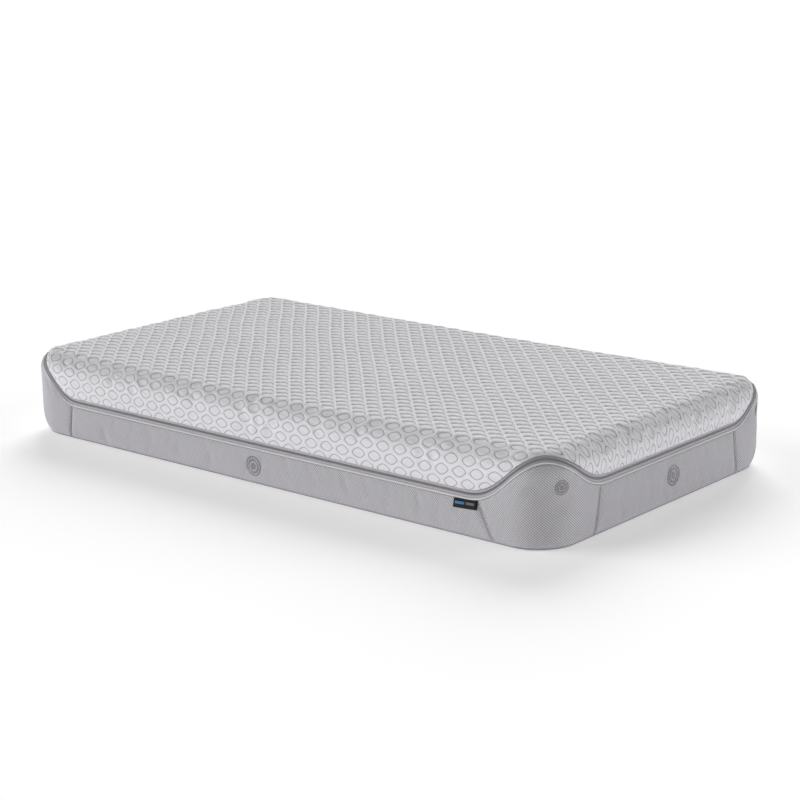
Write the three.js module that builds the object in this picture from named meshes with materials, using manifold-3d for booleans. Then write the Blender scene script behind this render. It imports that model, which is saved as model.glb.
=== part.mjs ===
// A zip-off memory foam mattress of crib size: a rounded foam block in a fire-barrier sleeve,
// inside a cover whose ring-knit top zips onto a grey mesh border. Millimetres, +Z up, +X along
// the length. The origin is on the floor under the middle. The front is the long side at -Y.
import * as THREE from "three";
import Module from "manifold-3d";
import { mergeVertices } from "three/addons/utils/BufferGeometryUtils.js";

const wasm = await Module();
wasm.setup();

// ---- Driving dimensions ----
const LENGTH = 1320;
const WIDTH = 720;
const HEIGHT = 168;
const CORNER_RADIUS = 70; // of the outline, seen from above
const SHOULDER_RADIUS = 38; // where the side turns into the top
const CORNER_TUCK = 6; // how far a corner draws in at its foot
const TUCK_HEIGHT = 60;
const TUCK_REACH = 75; // along the perimeter, each way from a corner's middle

// Layers, as depths inwards from the cover's outer face
const PIPING_PROUD = 1;
const COVER_THICKNESS = 5;
const BORDER_THICKNESS = 4;
const SLEEVE_DEPTH = 6.8;
const SLEEVE_THICKNESS = 1.2;
const FOAM_DEPTH = 8.8;
const GAP = 0.3;

// The foot of the mattress
const BOTTOM_THICKNESS = 4;
const BOTTOM_INSET = 8;
const BINDING_INSET = 1.2;
const BINDING_LIFT = 0.8; // the binding stays clear of the floor

// Foam
const MEMORY_FOAM_THICKNESS = 40;
const FOAM_FLOOR = 6.4;
const SLEEVE_SLIT = { depth: 10, length: 60, height: 1.2, level: 24 };

// The zip line: level along each side, and up in a wave over each corner
const ZIP_LEVEL_LONG = 70;
const ZIP_LEVEL_END = 90;
const ZIP_PEAK = 153; // measured up the side and on over the shoulder
const WAVE_POWER = 1.4; // above 1, the wave's crest is narrower than its foot
const WAVE_REACH = 165; // along the perimeter, from a corner's middle to past the wave's foot

// Each corner: how far its wave reaches, and its two seams (anticlockwise, as seen from above), each at
// the foot and at the end zip line, all as distances from the corner's middle
const CORNERS = {
  front_right: { wave: 165, seams: [[98, 142], [121, 137]] },
  back_right: { wave: 130, seams: [[108, 122], [108, 122]] },
  back_left: { wave: 140, seams: [[111, 123], [111, 123]] },
  front_left: { wave: 140, seams: [[111, 123], [111, 123]] },
};

// The zip, upwards from the middle of the piping
const PIPING_RADIUS = 1.5;
const PIPING_SIDES = 6;
const LOWER_TAPE = [1.8, 6.5];
const LOWER_CHAIN = [6.8, 8.3];
const UPPER_CHAIN = [9.3, 10.8];
const UPPER_TAPE = [11.1, 15.6];
const COVER_EDGE = 16;
const BORDER_EDGE = -2.4;
const TAPE_DEPTH = [2.2, 3.2];
const CHAIN_DEPTH = [1.7, 3.5];
const ZIP_END_X = 455; // where the zip's two ends meet on the back
const ZIP_END_GAP = 10;
const STOP_LENGTH = 3;
const STOP_DEPTH = [1.2, 3.6];

// The slider
const SLIDER_LENGTH = 12;
const SLIDER_START_X = 435;
const SLIDER_REACH = [5.5, 12.1]; // up and down, from the middle of the piping
const SLIDER_FRONT = [-0.4, 1.2];
const SLIDER_BACK = [3.9, 4.7];
const SLIDER_WEB = 0.4;
const SLIDER_WEB_INSET = 2; // from the slider's ends
const PULL_LENGTH = 24;
const PULL_WIDTH = 5.4;
const PULL_DEPTH = [-2.3, -1.3];
const PULL_EYE_RADIUS = 1.4;
const STUB_RADIUS = 1;
const STUB_DEPTH = [-2.6, 0.2];

// Border seams and marks
const SEAM_GAP = 0.4;
const LABEL = { x: 487, width: 51, foot: 51.2, top: 67.5, depth: [-0.9, -0.3] };
const CARE_LABEL = { x: 300, width: 60, foot: 10, top: 58, depth: [-0.8, -0.3] };
const EMBLEM_RADIUS_SIDE = 20;
const EMBLEM_RADIUS_CORNER = 13.5;
const EMBLEM_HEIGHT_LONG = 36;
const EMBLEM_HEIGHT_END = 53;
const EMBLEM_HEIGHT_CORNER = 109;
const EMBLEM_DEPTH = [-0.8, -0.3];
const EMBLEM_RINGS = { rimInside: 0.8, grooveOutside: 0.7, grooveInside: 0.4, middle: 0.3 };
const EMBLEM_SEGMENTS = 16;
const EMBLEM_SHIFT_LONG = -15; // from a side's middle, anticlockwise seen from above
const EMBLEM_SHIFT_END = 16;
const CORNER_EMBLEM_SHIFT = 29; // from a corner's middle, towards the mattress's end

// ---- The body's outline ----
const HALF_X = LENGTH / 2 - PIPING_PROUD;
const HALF_Y = WIDTH / 2 - PIPING_PROUD;
const STRAIGHT_X = HALF_X - CORNER_RADIUS;
const STRAIGHT_Y = HALF_Y - CORNER_RADIUS;
const ARC = (Math.PI / 2) * CORNER_RADIUS;
const QUARTER = STRAIGHT_X + ARC + STRAIGHT_Y; // perimeter from mid front to mid right
const PERIMETER = 4 * QUARTER;
const WALL = HEIGHT - SHOULDER_RADIUS;
const OVER = WALL + (Math.PI / 2) * SHOULDER_RADIUS; // where the top goes flat
const FIRST_CORNER = STRAIGHT_X + ARC / 2;
const SIDE_MIDDLES = { front: 0, right: QUARTER, back: 2 * QUARTER, left: 3 * QUARTER };
const CORNER_MIDDLES = {
  front_right: FIRST_CORNER,
  back_right: 2 * QUARTER - FIRST_CORNER,
  back_left: 2 * QUARTER + FIRST_CORNER,
  front_left: 4 * QUARTER - FIRST_CORNER,
};

const wrap = (s) => ((s % PERIMETER) + PERIMETER) % PERIMETER;

// The outline's point and outward normal, s along the perimeter from mid front towards +X.
function outline(s) {
  const along = wrap(s);
  const half = along > 2 * QUARTER ? -1 : 1; // the second half is the first, turned half round
  const u = half < 0 ? along - 2 * QUARTER : along;
  let x;
  let y;
  let angle;
  if (u <= STRAIGHT_X) {
    [x, y, angle] = [u, -HALF_Y, -Math.PI / 2];
  } else if (u <= STRAIGHT_X + ARC) {
    angle = (u - STRAIGHT_X) / CORNER_RADIUS - Math.PI / 2;
    x = STRAIGHT_X + CORNER_RADIUS * Math.cos(angle);
    y = -STRAIGHT_Y + CORNER_RADIUS * Math.sin(angle);
  } else if (u <= STRAIGHT_X + ARC + 2 * STRAIGHT_Y) {
    [x, y, angle] = [HALF_X, u - STRAIGHT_X - ARC - STRAIGHT_Y, 0];
  } else if (u <= STRAIGHT_X + 2 * ARC + 2 * STRAIGHT_Y) {
    angle = (u - STRAIGHT_X - ARC - 2 * STRAIGHT_Y) / CORNER_RADIUS;
    x = STRAIGHT_X + CORNER_RADIUS * Math.cos(angle);
    y = STRAIGHT_Y + CORNER_RADIUS * Math.sin(angle);
  } else {
    [x, y, angle] = [2 * QUARTER - u, HALF_Y, Math.PI / 2];
  }
  return {
    x: half * x,
    y: half * y,
    nx: half * Math.cos(angle),
    ny: half * Math.sin(angle),
  };
}

// The nearest corner, and the distance along the perimeter to its middle.
function nearestCorner(s) {
  let found;
  for (const [name, middle] of Object.entries(CORNER_MIDDLES)) {
    const away = Math.abs(wrap(s - middle + PERIMETER / 2) - PERIMETER / 2);
    if (!found || away < found.away) {
      found = { ...CORNERS[name], away };
    }
  }
  return found;
}

const ease = (x) => 0.5 - 0.5 * Math.cos(Math.PI * THREE.MathUtils.clamp(x, 0, 1));

// The height of the piping's middle at s, measured up the side and over the shoulder.
function zipLine(s) {
  const u = wrap(s) % (2 * QUARTER);
  const onEnd = u > FIRST_CORNER && u < 2 * QUARTER - FIRST_CORNER;
  const level = onEnd ? ZIP_LEVEL_END : ZIP_LEVEL_LONG;
  const { wave, away } = nearestCorner(s);
  return level + (ZIP_PEAK - level) * ease(1 - away / wave) ** WAVE_POWER;
}

function tuck(s, z) {
  const across = ease(1 - nearestCorner(s).away / TUCK_REACH);
  const up = THREE.MathUtils.clamp(1 - z / TUCK_HEIGHT, 0, 1);
  return CORNER_TUCK * across * up * up;
}

// The point at perimeter s, height h up the side and over the shoulder, and depth t inwards.
function place(s, h, t) {
  const { x, y, nx, ny } = outline(s);
  let inset = t;
  let z = h;
  if (h > OVER) {
    [inset, z] = [SHOULDER_RADIUS + h - OVER, HEIGHT - t];
  } else if (h > WALL) {
    const turn = (h - WALL) / SHOULDER_RADIUS;
    inset = SHOULDER_RADIUS - (SHOULDER_RADIUS - t) * Math.cos(turn);
    z = WALL + (SHOULDER_RADIUS - t) * Math.sin(turn);
  }
  inset += tuck(s, z);
  return new THREE.Vector3(x - nx * inset, y - ny * inset, z);
}

// ---- Stations round the perimeter ----
const ARC_STEPS = 8;
const WAVE_STEPS = 8;

// Offsets from a corner's middle: even over the arc, then out along both straights.
function cornerOffsets(reach, straightSteps) {
  const offsets = [];
  for (let i = straightSteps; i > 0; i--) {
    offsets.push(-ARC / 2 - ((reach - ARC / 2) * i) / straightSteps);
  }
  for (let i = 0; i <= ARC_STEPS; i++) {
    offsets.push(ARC * (i / ARC_STEPS - 0.5));
  }
  for (let i = 1; i <= straightSteps; i++) {
    offsets.push(ARC / 2 + ((reach - ARC / 2) * i) / straightSteps);
  }
  return offsets;
}

function stationsAround(reach, straightSteps) {
  const offsets = cornerOffsets(reach, straightSteps);
  return Object.values(CORNER_MIDDLES).flatMap((middle) => offsets.map((o) => middle + o));
}

const WAVE_STATIONS = stationsAround(WAVE_REACH, WAVE_STEPS);
const PLAIN_STATIONS = stationsAround(TUCK_REACH, 1);

// ---- Solids from rings of points ----
function solid(points, triangles) {
  const geometry = new THREE.BufferGeometry();
  const flat = points.flatMap((p) => [p.x, p.y, p.z]);
  geometry.setAttribute("position", new THREE.Float32BufferAttribute(flat, 3));
  geometry.setIndex(triangles);
  geometry.computeVertexNormals();
  return geometry;
}

// Joins each ring to the next. The rings run anticlockwise seen from above.
function stitch(rings, triangles, closeUp) {
  const n = rings[0].length;
  const last = closeUp ? rings.length : rings.length - 1;
  for (let r = 0; r < last; r++) {
    const here = r * n;
    const next = ((r + 1) % rings.length) * n;
    for (let i = 0; i < n; i++) {
      const j = (i + 1) % n;
      triangles.push(here + i, here + j, next + j, here + i, next + j, next + i);
    }
  }
}

// A lofted solid, capped flat across its first and last ring.
function loft(rings) {
  const triangles = [];
  stitch(rings, triangles, false);
  const cap = (ring, base, up) => {
    const flat = ring.map((p) => new THREE.Vector2(p.x, p.y));
    for (const [a, b, c] of THREE.ShapeUtils.triangulateShape(flat, [])) {
      triangles.push(base + a, base + (up ? b : c), base + (up ? c : b));
    }
  };
  const lastBase = (rings.length - 1) * rings[0].length;
  cap(rings[0], 0, false);
  cap(rings[rings.length - 1], lastBase, true);
  return solid(rings.flat(), triangles);
}

// A closed band all round: section(s) lists [height, depth] points, outer upwards first.
function band(stations, section) {
  const rings = stations.map((s) => section(s).map(([h, t]) => place(s, h, t)).reverse());
  const triangles = [];
  stitch(rings, triangles, true);
  return solid(rings.flat(), triangles);
}

// A strip with two ends: at(u) gives its section there as [s, height, depth] points,
// half of them up its outer face and half down its inner face.
function strip(steps, at) {
  const rings = steps.map((u) => at(u).map(([s, h, t]) => place(s, h, t)).reverse());
  const n = rings[0].length;
  const triangles = [];
  stitch(rings, triangles, false);
  const lastBase = (rings.length - 1) * n;
  for (let i = 0; i < n / 2 - 1; i++) {
    const [a, b, c, d] = [i, i + 1, n - 2 - i, n - 1 - i];
    triangles.push(a, c, b, a, d, c);
    triangles.push(lastBase + a, lastBase + b, lastBase + c, lastBase + a, lastBase + c, lastBase + d);
  }
  return solid(rings.flat(), triangles);
}

const rectangle = ([low, high], [outer, inner]) => [
  [low, outer],
  [high, outer],
  [high, inner],
  [low, inner],
];

const evenly = (from, to, count) =>
  Array.from({ length: count + 1 }, (_, i) => from + ((to - from) * i) / count);

// ---- manifold-3d: joins and cuts ----
function toManifold(geometry) {
  const bare = geometry.index ? geometry.toNonIndexed() : geometry.clone();
  bare.deleteAttribute("normal");
  bare.deleteAttribute("uv");
  const merged = mergeVertices(bare, 1e-3);
  return new wasm.Manifold(
    new wasm.Mesh({
      numProp: 3,
      vertProperties: new Float32Array(merged.attributes.position.array),
      triVerts: new Uint32Array(merged.index.array),
    }),
  );
}

function fromManifold(made) {
  const mesh = made.getMesh();
  const geometry = new THREE.BufferGeometry();
  geometry.setAttribute("position", new THREE.BufferAttribute(mesh.vertProperties, 3));
  geometry.setIndex(new THREE.BufferAttribute(mesh.triVerts, 1));
  geometry.computeVertexNormals();
  return geometry;
}

// ---- Foam and sleeve ----
const MEMORY_FOAM_FLOOR = HEIGHT - FOAM_DEPTH - MEMORY_FOAM_THICKNESS;
const SHOULDER_HEIGHTS = evenly(WALL, OVER, 6);

const ringAt = (stations, h, t) => stations.map((s) => place(s, h, t));

function foamBase() {
  const heights = [FOAM_FLOOR, TUCK_HEIGHT / 2, TUCK_HEIGHT, MEMORY_FOAM_FLOOR - GAP];
  return loft(heights.map((h) => ringAt(PLAIN_STATIONS, h, FOAM_DEPTH)));
}

function foamMemory() {
  const heights = [MEMORY_FOAM_FLOOR, ...SHOULDER_HEIGHTS];
  return loft(heights.map((h) => ringAt(PLAIN_STATIONS, h, FOAM_DEPTH)));
}

// The sleeve closes all round the foam but for a slit at one end, where it was turned out.
function fireBarrierSleeve() {
  const skin = (depth, floor) => {
    const heights = [floor, TUCK_HEIGHT / 2, TUCK_HEIGHT, ...SHOULDER_HEIGHTS];
    return toManifold(loft(heights.map((h) => ringAt(PLAIN_STATIONS, h, depth))));
  };
  const sleeveFloor = BOTTOM_THICKNESS + 2 * GAP;
  const outer = skin(SLEEVE_DEPTH, sleeveFloor);
  const inner = skin(SLEEVE_DEPTH + SLEEVE_THICKNESS, sleeveFloor + SLEEVE_THICKNESS);
  const slit = new THREE.BoxGeometry(SLEEVE_SLIT.depth, SLEEVE_SLIT.length, SLEEVE_SLIT.height);
  slit.translate(-HALF_X + SLEEVE_DEPTH, 0, SLEEVE_SLIT.level);
  return fromManifold(outer.subtract(inner).subtract(toManifold(slit)));
}

// ---- Cover ----
const COVER_STEPS = [0, 0.15, 0.3, 0.4, 0.5, 0.6, 0.7, 0.8, 0.9, 1]; // from the edge to the flat

// An open-bottomed tray of knit: inside from the middle down, then outside back up.
function topCover() {
  const ring = (step, t) =>
    WAVE_STATIONS.map((s) => {
      const edge = zipLine(s) + COVER_EDGE;
      return place(s, edge + (OVER - edge) * step, t);
    });
  const inside = [...COVER_STEPS].reverse().map((step) => ring(step, COVER_THICKNESS));
  const outside = COVER_STEPS.map((step) => ring(step, 0));
  return loft([...inside, ...outside]);
}

const zipBand = (reach, depths) =>
  band(WAVE_STATIONS, (s) =>
    rectangle(
      reach.map((h) => zipLine(s) + h),
      depths,
    ),
  );

// A zip chain all round, open where its two ends meet on the back.
function zipChain(reach) {
  const end = 2 * QUARTER - ZIP_END_X;
  const stations = [end + ZIP_END_GAP / 2];
  for (const turn of [0, PERIMETER]) {
    for (const s of WAVE_STATIONS) {
      const at = s + turn;
      if (at > stations[0] + 1 && at < end + PERIMETER - ZIP_END_GAP / 2 - 1) {
        stations.push(at);
      }
    }
  }
  stations.push(end + PERIMETER - ZIP_END_GAP / 2);
  return strip(stations, (s) =>
    rectangle(
      reach.map((h) => zipLine(s) + h),
      CHAIN_DEPTH,
    ).map(([h, t]) => [s, h, t]),
  );
}

// A crimp at one end of the chain, just past it.
function zipStop(side) {
  const middle = 2 * QUARTER - ZIP_END_X + side * (ZIP_END_GAP / 2 - GAP - STOP_LENGTH / 2);
  return strip([middle - STOP_LENGTH / 2, middle + STOP_LENGTH / 2], (s) =>
    rectangle([ZIP_LEVEL_LONG + LOWER_CHAIN[0], ZIP_LEVEL_LONG + LOWER_CHAIN[1]], STOP_DEPTH).map(
      ([h, t]) => [s, h, t],
    ),
  );
}

function piping() {
  return band(WAVE_STATIONS, (s) =>
    evenly(0, PIPING_SIDES - 1, PIPING_SIDES - 1).map((i) => {
      const angle = (2 * Math.PI * i) / PIPING_SIDES;
      const h = zipLine(s) + PIPING_RADIUS * Math.cos(angle);
      return [h, PIPING_RADIUS - PIPING_PROUD + PIPING_RADIUS * Math.sin(angle)];
    }),
  );
}

// ---- Border ----
const BORDER_FOOT = BOTTOM_THICKNESS + GAP;

const BORDER_STEPS_CORNER = [0, 0.2, 0.4, 0.65, 0.82, 0.88, 0.94, 1];
const BORDER_STEPS_SIDE = [0, 0.4, 0.8, 1];
const SIDE_END_STATIONS = [0, 6, 12, 18, 24, 32, 42, 54]; // from a seam, where the zip still rises

// A seam's place at height h, as a distance along the perimeter from its corner's middle.
function seamAt([foot, top], h) {
  return foot + (top - foot) * Math.min(1, h / ZIP_LEVEL_END);
}

// A border panel, with where(u, h) giving s for u from -1 to 1 along it.
function borderPanel(stations, steps, where) {
  return strip(stations, (u) => {
    let top = ZIP_PEAK;
    for (let round = 0; round < 6; round++) {
      top = zipLine(where(u, top)) + BORDER_EDGE;
    }
    const heights = steps.map((step) => BORDER_FOOT + (top - BORDER_FOOT) * step);
    const outer = heights.map((h) => [where(u, h), h, 0]);
    const inner = heights.map((h) => [where(u, h), h, BORDER_THICKNESS]).reverse();
    return [...outer, ...inner];
  });
}

function borderCorner(name) {
  const [near, far] = CORNERS[name].seams;
  const nearOffsets = cornerOffsets(near[1], WAVE_STEPS).filter((offset) => offset < 0);
  const farOffsets = cornerOffsets(far[1], WAVE_STEPS).filter((offset) => offset >= 0);
  const stations = [
    ...nearOffsets.map((offset) => offset / near[1]),
    ...farOffsets.map((offset) => offset / far[1]),
  ];
  return borderPanel(stations, BORDER_STEPS_CORNER, (u, h) => {
    const reach = seamAt(u < 0 ? near : far, h) - SEAM_GAP / 2;
    return CORNER_MIDDLES[name] + u * reach;
  });
}

function borderSide(middle, toCorner) {
  const before = nearestCorner(middle - toCorner).seams[1];
  const after = nearestCorner(middle + toCorner).seams[0];
  const half = toCorner - after[0];
  const ends = SIDE_END_STATIONS.map((away) => 1 - away / half);
  const stations = [...ends.map((u) => -u), 0, ...[...ends].reverse()];
  return borderPanel(stations, BORDER_STEPS_SIDE, (u, h) => {
    const start = middle - toCorner + seamAt(before, h) + SEAM_GAP / 2;
    const end = middle + toCorner - seamAt(after, h) - SEAM_GAP / 2;
    return (start * (1 - u) + end * (1 + u)) / 2;
  });
}

// ---- Foot ----
function bottomPanel() {
  return loft([0, BOTTOM_THICKNESS].map((z) => ringAt(PLAIN_STATIONS, z, BOTTOM_INSET)));
}

function footBinding() {
  const heights = [BINDING_LIFT, BOTTOM_THICKNESS];
  return band(PLAIN_STATIONS, () => rectangle(heights, [BINDING_INSET, BOTTOM_INSET - GAP]));
}

// ---- Marks ----
// A round mark that follows the side: raised plain rings on a thin disc.
function emblem(middle, height, radius) {
  const [face, back] = EMBLEM_DEPTH;
  const low = (face + back) / 2;
  const profile = [
    [0, back],
    [1, back],
    [1, face],
    [EMBLEM_RINGS.rimInside, face],
    [EMBLEM_RINGS.grooveOutside, low],
    [EMBLEM_RINGS.grooveInside, low],
    [EMBLEM_RINGS.middle, face],
    [0, face],
  ].map(([share, t]) => new THREE.Vector2(radius * share, -t));
  const disc = new THREE.LatheGeometry(profile, EMBLEM_SEGMENTS);
  disc.deleteAttribute("normal");
  disc.deleteAttribute("uv");
  const merged = mergeVertices(disc, 1e-3);
  const at = merged.attributes.position;
  for (let i = 0; i < at.count; i++) {
    const bent = place(middle + at.getX(i), height + at.getZ(i), -at.getY(i));
    at.setXYZ(i, bent.x, bent.y, bent.z);
  }
  return facingOut(merged);
}

// Turns every face round if the solid came out with its faces pointing in.
function facingOut(geometry) {
  if (toManifold(geometry).volume() < 0) {
    const index = geometry.index.array;
    for (let i = 0; i < index.length; i += 3) {
      [index[i + 1], index[i + 2]] = [index[i + 2], index[i + 1]];
    }
  }
  geometry.computeVertexNormals();
  return geometry;
}

function patch(middle, { width, foot, top, depth }) {
  return strip([middle - width / 2, middle + width / 2], (s) =>
    rectangle([foot, top], depth).map(([h, t]) => [s, h, t]),
  );
}

// ---- Slider and pull, in place at the end of the back's level stretch ----
const block = ([x0, x1], [h0, h1], [t0, t1]) => {
  const box = new THREE.BoxGeometry(x1 - x0, t1 - t0, h1 - h0);
  box.translate((x0 + x1) / 2, HALF_Y - (t0 + t1) / 2, ZIP_LEVEL_LONG + (h0 + h1) / 2);
  return box;
};

const PIVOT_X = SLIDER_START_X;
const ZIP_MIDDLE = (LOWER_CHAIN[1] + UPPER_CHAIN[0]) / 2;

// Two plates, one each side of the chain, joined by a web between its halves.
function zipSlider() {
  const ends = [SLIDER_START_X - SLIDER_LENGTH / 2, SLIDER_START_X + SLIDER_LENGTH / 2];
  const web = [ZIP_MIDDLE - SLIDER_WEB / 2, ZIP_MIDDLE + SLIDER_WEB / 2];
  const front = toManifold(block(ends, SLIDER_REACH, SLIDER_FRONT));
  const back = toManifold(block(ends, SLIDER_REACH, SLIDER_BACK));
  const through = [SLIDER_FRONT[0], SLIDER_BACK[1]];
  const postEnds = [ends[0] + SLIDER_WEB_INSET, ends[1] - SLIDER_WEB_INSET];
  const post = toManifold(block(postEnds, web, through));
  const length = STUB_DEPTH[1] - STUB_DEPTH[0];
  const stub = new THREE.CylinderGeometry(STUB_RADIUS, STUB_RADIUS, length, 12);
  const middle = HALF_Y - (STUB_DEPTH[0] + STUB_DEPTH[1]) / 2;
  stub.translate(PIVOT_X, middle, ZIP_LEVEL_LONG + ZIP_MIDDLE);
  return fromManifold(front.add(back).add(post).add(toManifold(stub)));
}

// A tab that hangs from its eye on the slider's stub.
function zipPull() {
  const r = PULL_WIDTH / 2;
  const tab = new THREE.Shape();
  tab.absarc(0, 0, r, 0, Math.PI, false);
  tab.absarc(0, 2 * r - PULL_LENGTH, r, Math.PI, 2 * Math.PI, false);
  const eye = new THREE.Path();
  eye.absarc(0, 0, PULL_EYE_RADIUS, 0, 2 * Math.PI, true);
  tab.holes.push(eye);
  const depth = PULL_DEPTH[1] - PULL_DEPTH[0];
  const made = new THREE.ExtrudeGeometry(tab, { depth, bevelEnabled: false, curveSegments: 8 });
  made.rotateX(Math.PI / 2);
  made.translate(PIVOT_X, HALF_Y - PULL_DEPTH[0], ZIP_LEVEL_LONG + ZIP_MIDDLE);
  return made;
}

// ---- Assembly ----
const mattress = new THREE.Group();

function add(name, geometry, color, roughness, metalness = 0) {
  const material = new THREE.MeshStandardMaterial({ color, roughness, metalness });
  const mesh = new THREE.Mesh(geometry, material);
  mesh.name = name;
  mattress.add(mesh);
}

const KNIT = 0xdcdbdd;
const MESH_GREY = 0xa9a8ab;
const TAPE_GREY = 0x98939c;
const CHAIN_GREY = 0x6e6a72;
const THREAD_GREY = 0x8b898e;
const METAL = 0xb8b8ba;
const PIPING_WHITE = 0xf0f0f0;
const BOTTOM_GREY = 0x9b9a9d;
const LABEL_BLACK = 0x101114;
const LABEL_WHITE = 0xf2f1ee;
const SLEEVE_CREAM = 0xece8df;
const MEMORY_FOAM_CREAM = 0xe9e4d2;
const BASE_FOAM_WHITE = 0xf1f0ee;

add("top_cover", topCover(), KNIT, 0.9);
add("zip_tape_upper", zipBand(UPPER_TAPE, TAPE_DEPTH), TAPE_GREY, 0.8);
add("zip_tape_lower", zipBand(LOWER_TAPE, TAPE_DEPTH), TAPE_GREY, 0.8);
add("zip_chain_upper", zipChain(UPPER_CHAIN), CHAIN_GREY, 0.5);
add("zip_chain_lower", zipChain(LOWER_CHAIN), CHAIN_GREY, 0.5);
add("zip_stop_start", zipStop(-1), METAL, 0.35, 1);
add("zip_stop_end", zipStop(1), METAL, 0.35, 1);
add("zip_slider", zipSlider(), METAL, 0.35, 1);
add("zip_pull", zipPull(), METAL, 0.35, 1);
add("piping", piping(), PIPING_WHITE, 0.7);

for (const [corner, middle] of Object.entries(CORNER_MIDDLES)) {
  add(`border_corner_${corner}`, borderCorner(corner), MESH_GREY, 0.9);
  const towardsEnd = corner === "front_right" || corner === "back_left" ? 1 : -1;
  const at = middle + towardsEnd * CORNER_EMBLEM_SHIFT;
  const mark = emblem(at, EMBLEM_HEIGHT_CORNER, EMBLEM_RADIUS_CORNER);
  add(`emblem_corner_${corner}`, mark, THREAD_GREY, 0.8);
}

for (const [side, middle] of Object.entries(SIDE_MIDDLES)) {
  const isEnd = side === "right" || side === "left";
  const toCorner = isEnd ? QUARTER - FIRST_CORNER : FIRST_CORNER;
  add(`border_${side}`, borderSide(middle, toCorner), MESH_GREY, 0.9);
  const height = isEnd ? EMBLEM_HEIGHT_END : EMBLEM_HEIGHT_LONG;
  const at = middle + (isEnd ? EMBLEM_SHIFT_END : EMBLEM_SHIFT_LONG);
  add(`emblem_${side}`, emblem(at, height, EMBLEM_RADIUS_SIDE), THREAD_GREY, 0.8);
}

add("bottom_panel", bottomPanel(), BOTTOM_GREY, 0.95);
add("foot_binding", footBinding(), THREAD_GREY, 0.9);
add("side_label", patch(LABEL.x, LABEL), LABEL_BLACK, 0.7);
add("care_label", patch(2 * QUARTER + CARE_LABEL.x, CARE_LABEL), LABEL_WHITE, 0.8);
add("fire_barrier_sleeve", fireBarrierSleeve(), SLEEVE_CREAM, 0.95);
add("foam_memory", foamMemory(), MEMORY_FOAM_CREAM, 0.95);
add("foam_base", foamBase(), BASE_FOAM_WHITE, 0.95);

export default mattress;
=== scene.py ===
"""A crib-size memory foam mattress in a zip-off cover: ring-knit top, zip in waves, mesh border."""
import math

import bmesh
import bpy
import numpy as np
from mathutils import Matrix, Vector


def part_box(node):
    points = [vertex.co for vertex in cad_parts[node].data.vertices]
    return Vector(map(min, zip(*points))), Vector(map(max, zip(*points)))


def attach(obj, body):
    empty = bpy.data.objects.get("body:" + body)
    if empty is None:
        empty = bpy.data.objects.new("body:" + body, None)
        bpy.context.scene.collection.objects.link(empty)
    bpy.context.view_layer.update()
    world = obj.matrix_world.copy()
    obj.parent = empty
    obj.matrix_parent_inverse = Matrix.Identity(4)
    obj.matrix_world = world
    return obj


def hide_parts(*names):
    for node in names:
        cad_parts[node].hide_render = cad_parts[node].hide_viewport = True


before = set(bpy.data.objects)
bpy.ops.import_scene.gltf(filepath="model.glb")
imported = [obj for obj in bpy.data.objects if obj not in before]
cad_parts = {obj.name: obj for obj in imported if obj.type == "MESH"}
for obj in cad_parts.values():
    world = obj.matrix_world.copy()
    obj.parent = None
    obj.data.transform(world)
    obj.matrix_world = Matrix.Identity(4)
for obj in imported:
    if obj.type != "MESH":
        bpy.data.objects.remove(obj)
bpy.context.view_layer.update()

MM = 0.001

# ---- Sizes read from the frame ----
HALF_X, HALF_Y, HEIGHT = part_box("top_cover")[1]
BORDER_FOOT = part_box("border_front")[0].z
MEMORY_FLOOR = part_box("foam_memory")[0].z
BASE_FLOOR, BASE_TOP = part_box("foam_base")[0].z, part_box("foam_base")[1].z
SLEEVE_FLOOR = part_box("fire_barrier_sleeve")[0].z
BOTTOM_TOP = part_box("bottom_panel")[1].z

# ---- Sizes repeated from the CAD source, in metres ----
CORNER_RADIUS = 70 * MM
SHOULDER_RADIUS = 38 * MM
LEVEL_LONG = 70 * MM  # the piping's height along the long sides
LEVEL_END = 90 * MM
ZIP_PEAK = 153 * MM
WAVE_POWER = 1.4
TUCK_REACH = 75 * MM
BORDER_EDGE = -2.4 * MM  # from the middle of the piping, like every zip height below
LOWER_TAPE = (1.8 * MM, 6.5 * MM)
LOWER_CHAIN = (6.8 * MM, 8.3 * MM)
UPPER_CHAIN = (9.3 * MM, 10.8 * MM)
UPPER_TAPE = (11.1 * MM, 15.6 * MM)
COVER_EDGE = 16 * MM
ZIP_MIDDLE = 8.8 * MM
COVER_THICKNESS = 5 * MM
BORDER_THICKNESS = 4 * MM
SLEEVE_DEPTH = 6.8 * MM
FOAM_DEPTH = 8.8 * MM
BOTTOM_INSET = 8 * MM
PIPING_RADIUS = 1.5 * MM
SEAM_GAP = 0.4 * MM
ZIP_END_X = 455 * MM
ZIP_END_GAP = 10 * MM
SLIDER_X = 435 * MM

# Each corner, in millimetres: how far its wave reaches, and its two seams' distances from the corner's
# middle (anticlockwise seen from above), each at the foot and at the end's zip line
CORNERS = {
    "front_right": (165, (98, 142), (121, 137)),
    "back_right": (130, (108, 122), (108, 122)),
    "back_left": (140, (111, 123), (111, 123)),
    "front_left": (140, (111, 123), (111, 123)),
}

# ---- How the real cloth differs from the plain solids ----
CORNER_TUCKS = {
    "front_right": 5 * MM,
    "back_right": 12 * MM,
    "back_left": 9 * MM,
    "front_left": 12 * MM,
}
TUCK_HEIGHT = 48 * MM
FOOT_ROUND = 3 * MM  # the border turns under a little all along its foot
FOOT_ROUND_HEIGHT = 22 * MM
CROWN = 1.5 * MM  # the ends stand a little high
SAG = 4 * MM  # and the middle of the length lies lower than the ends

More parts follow.
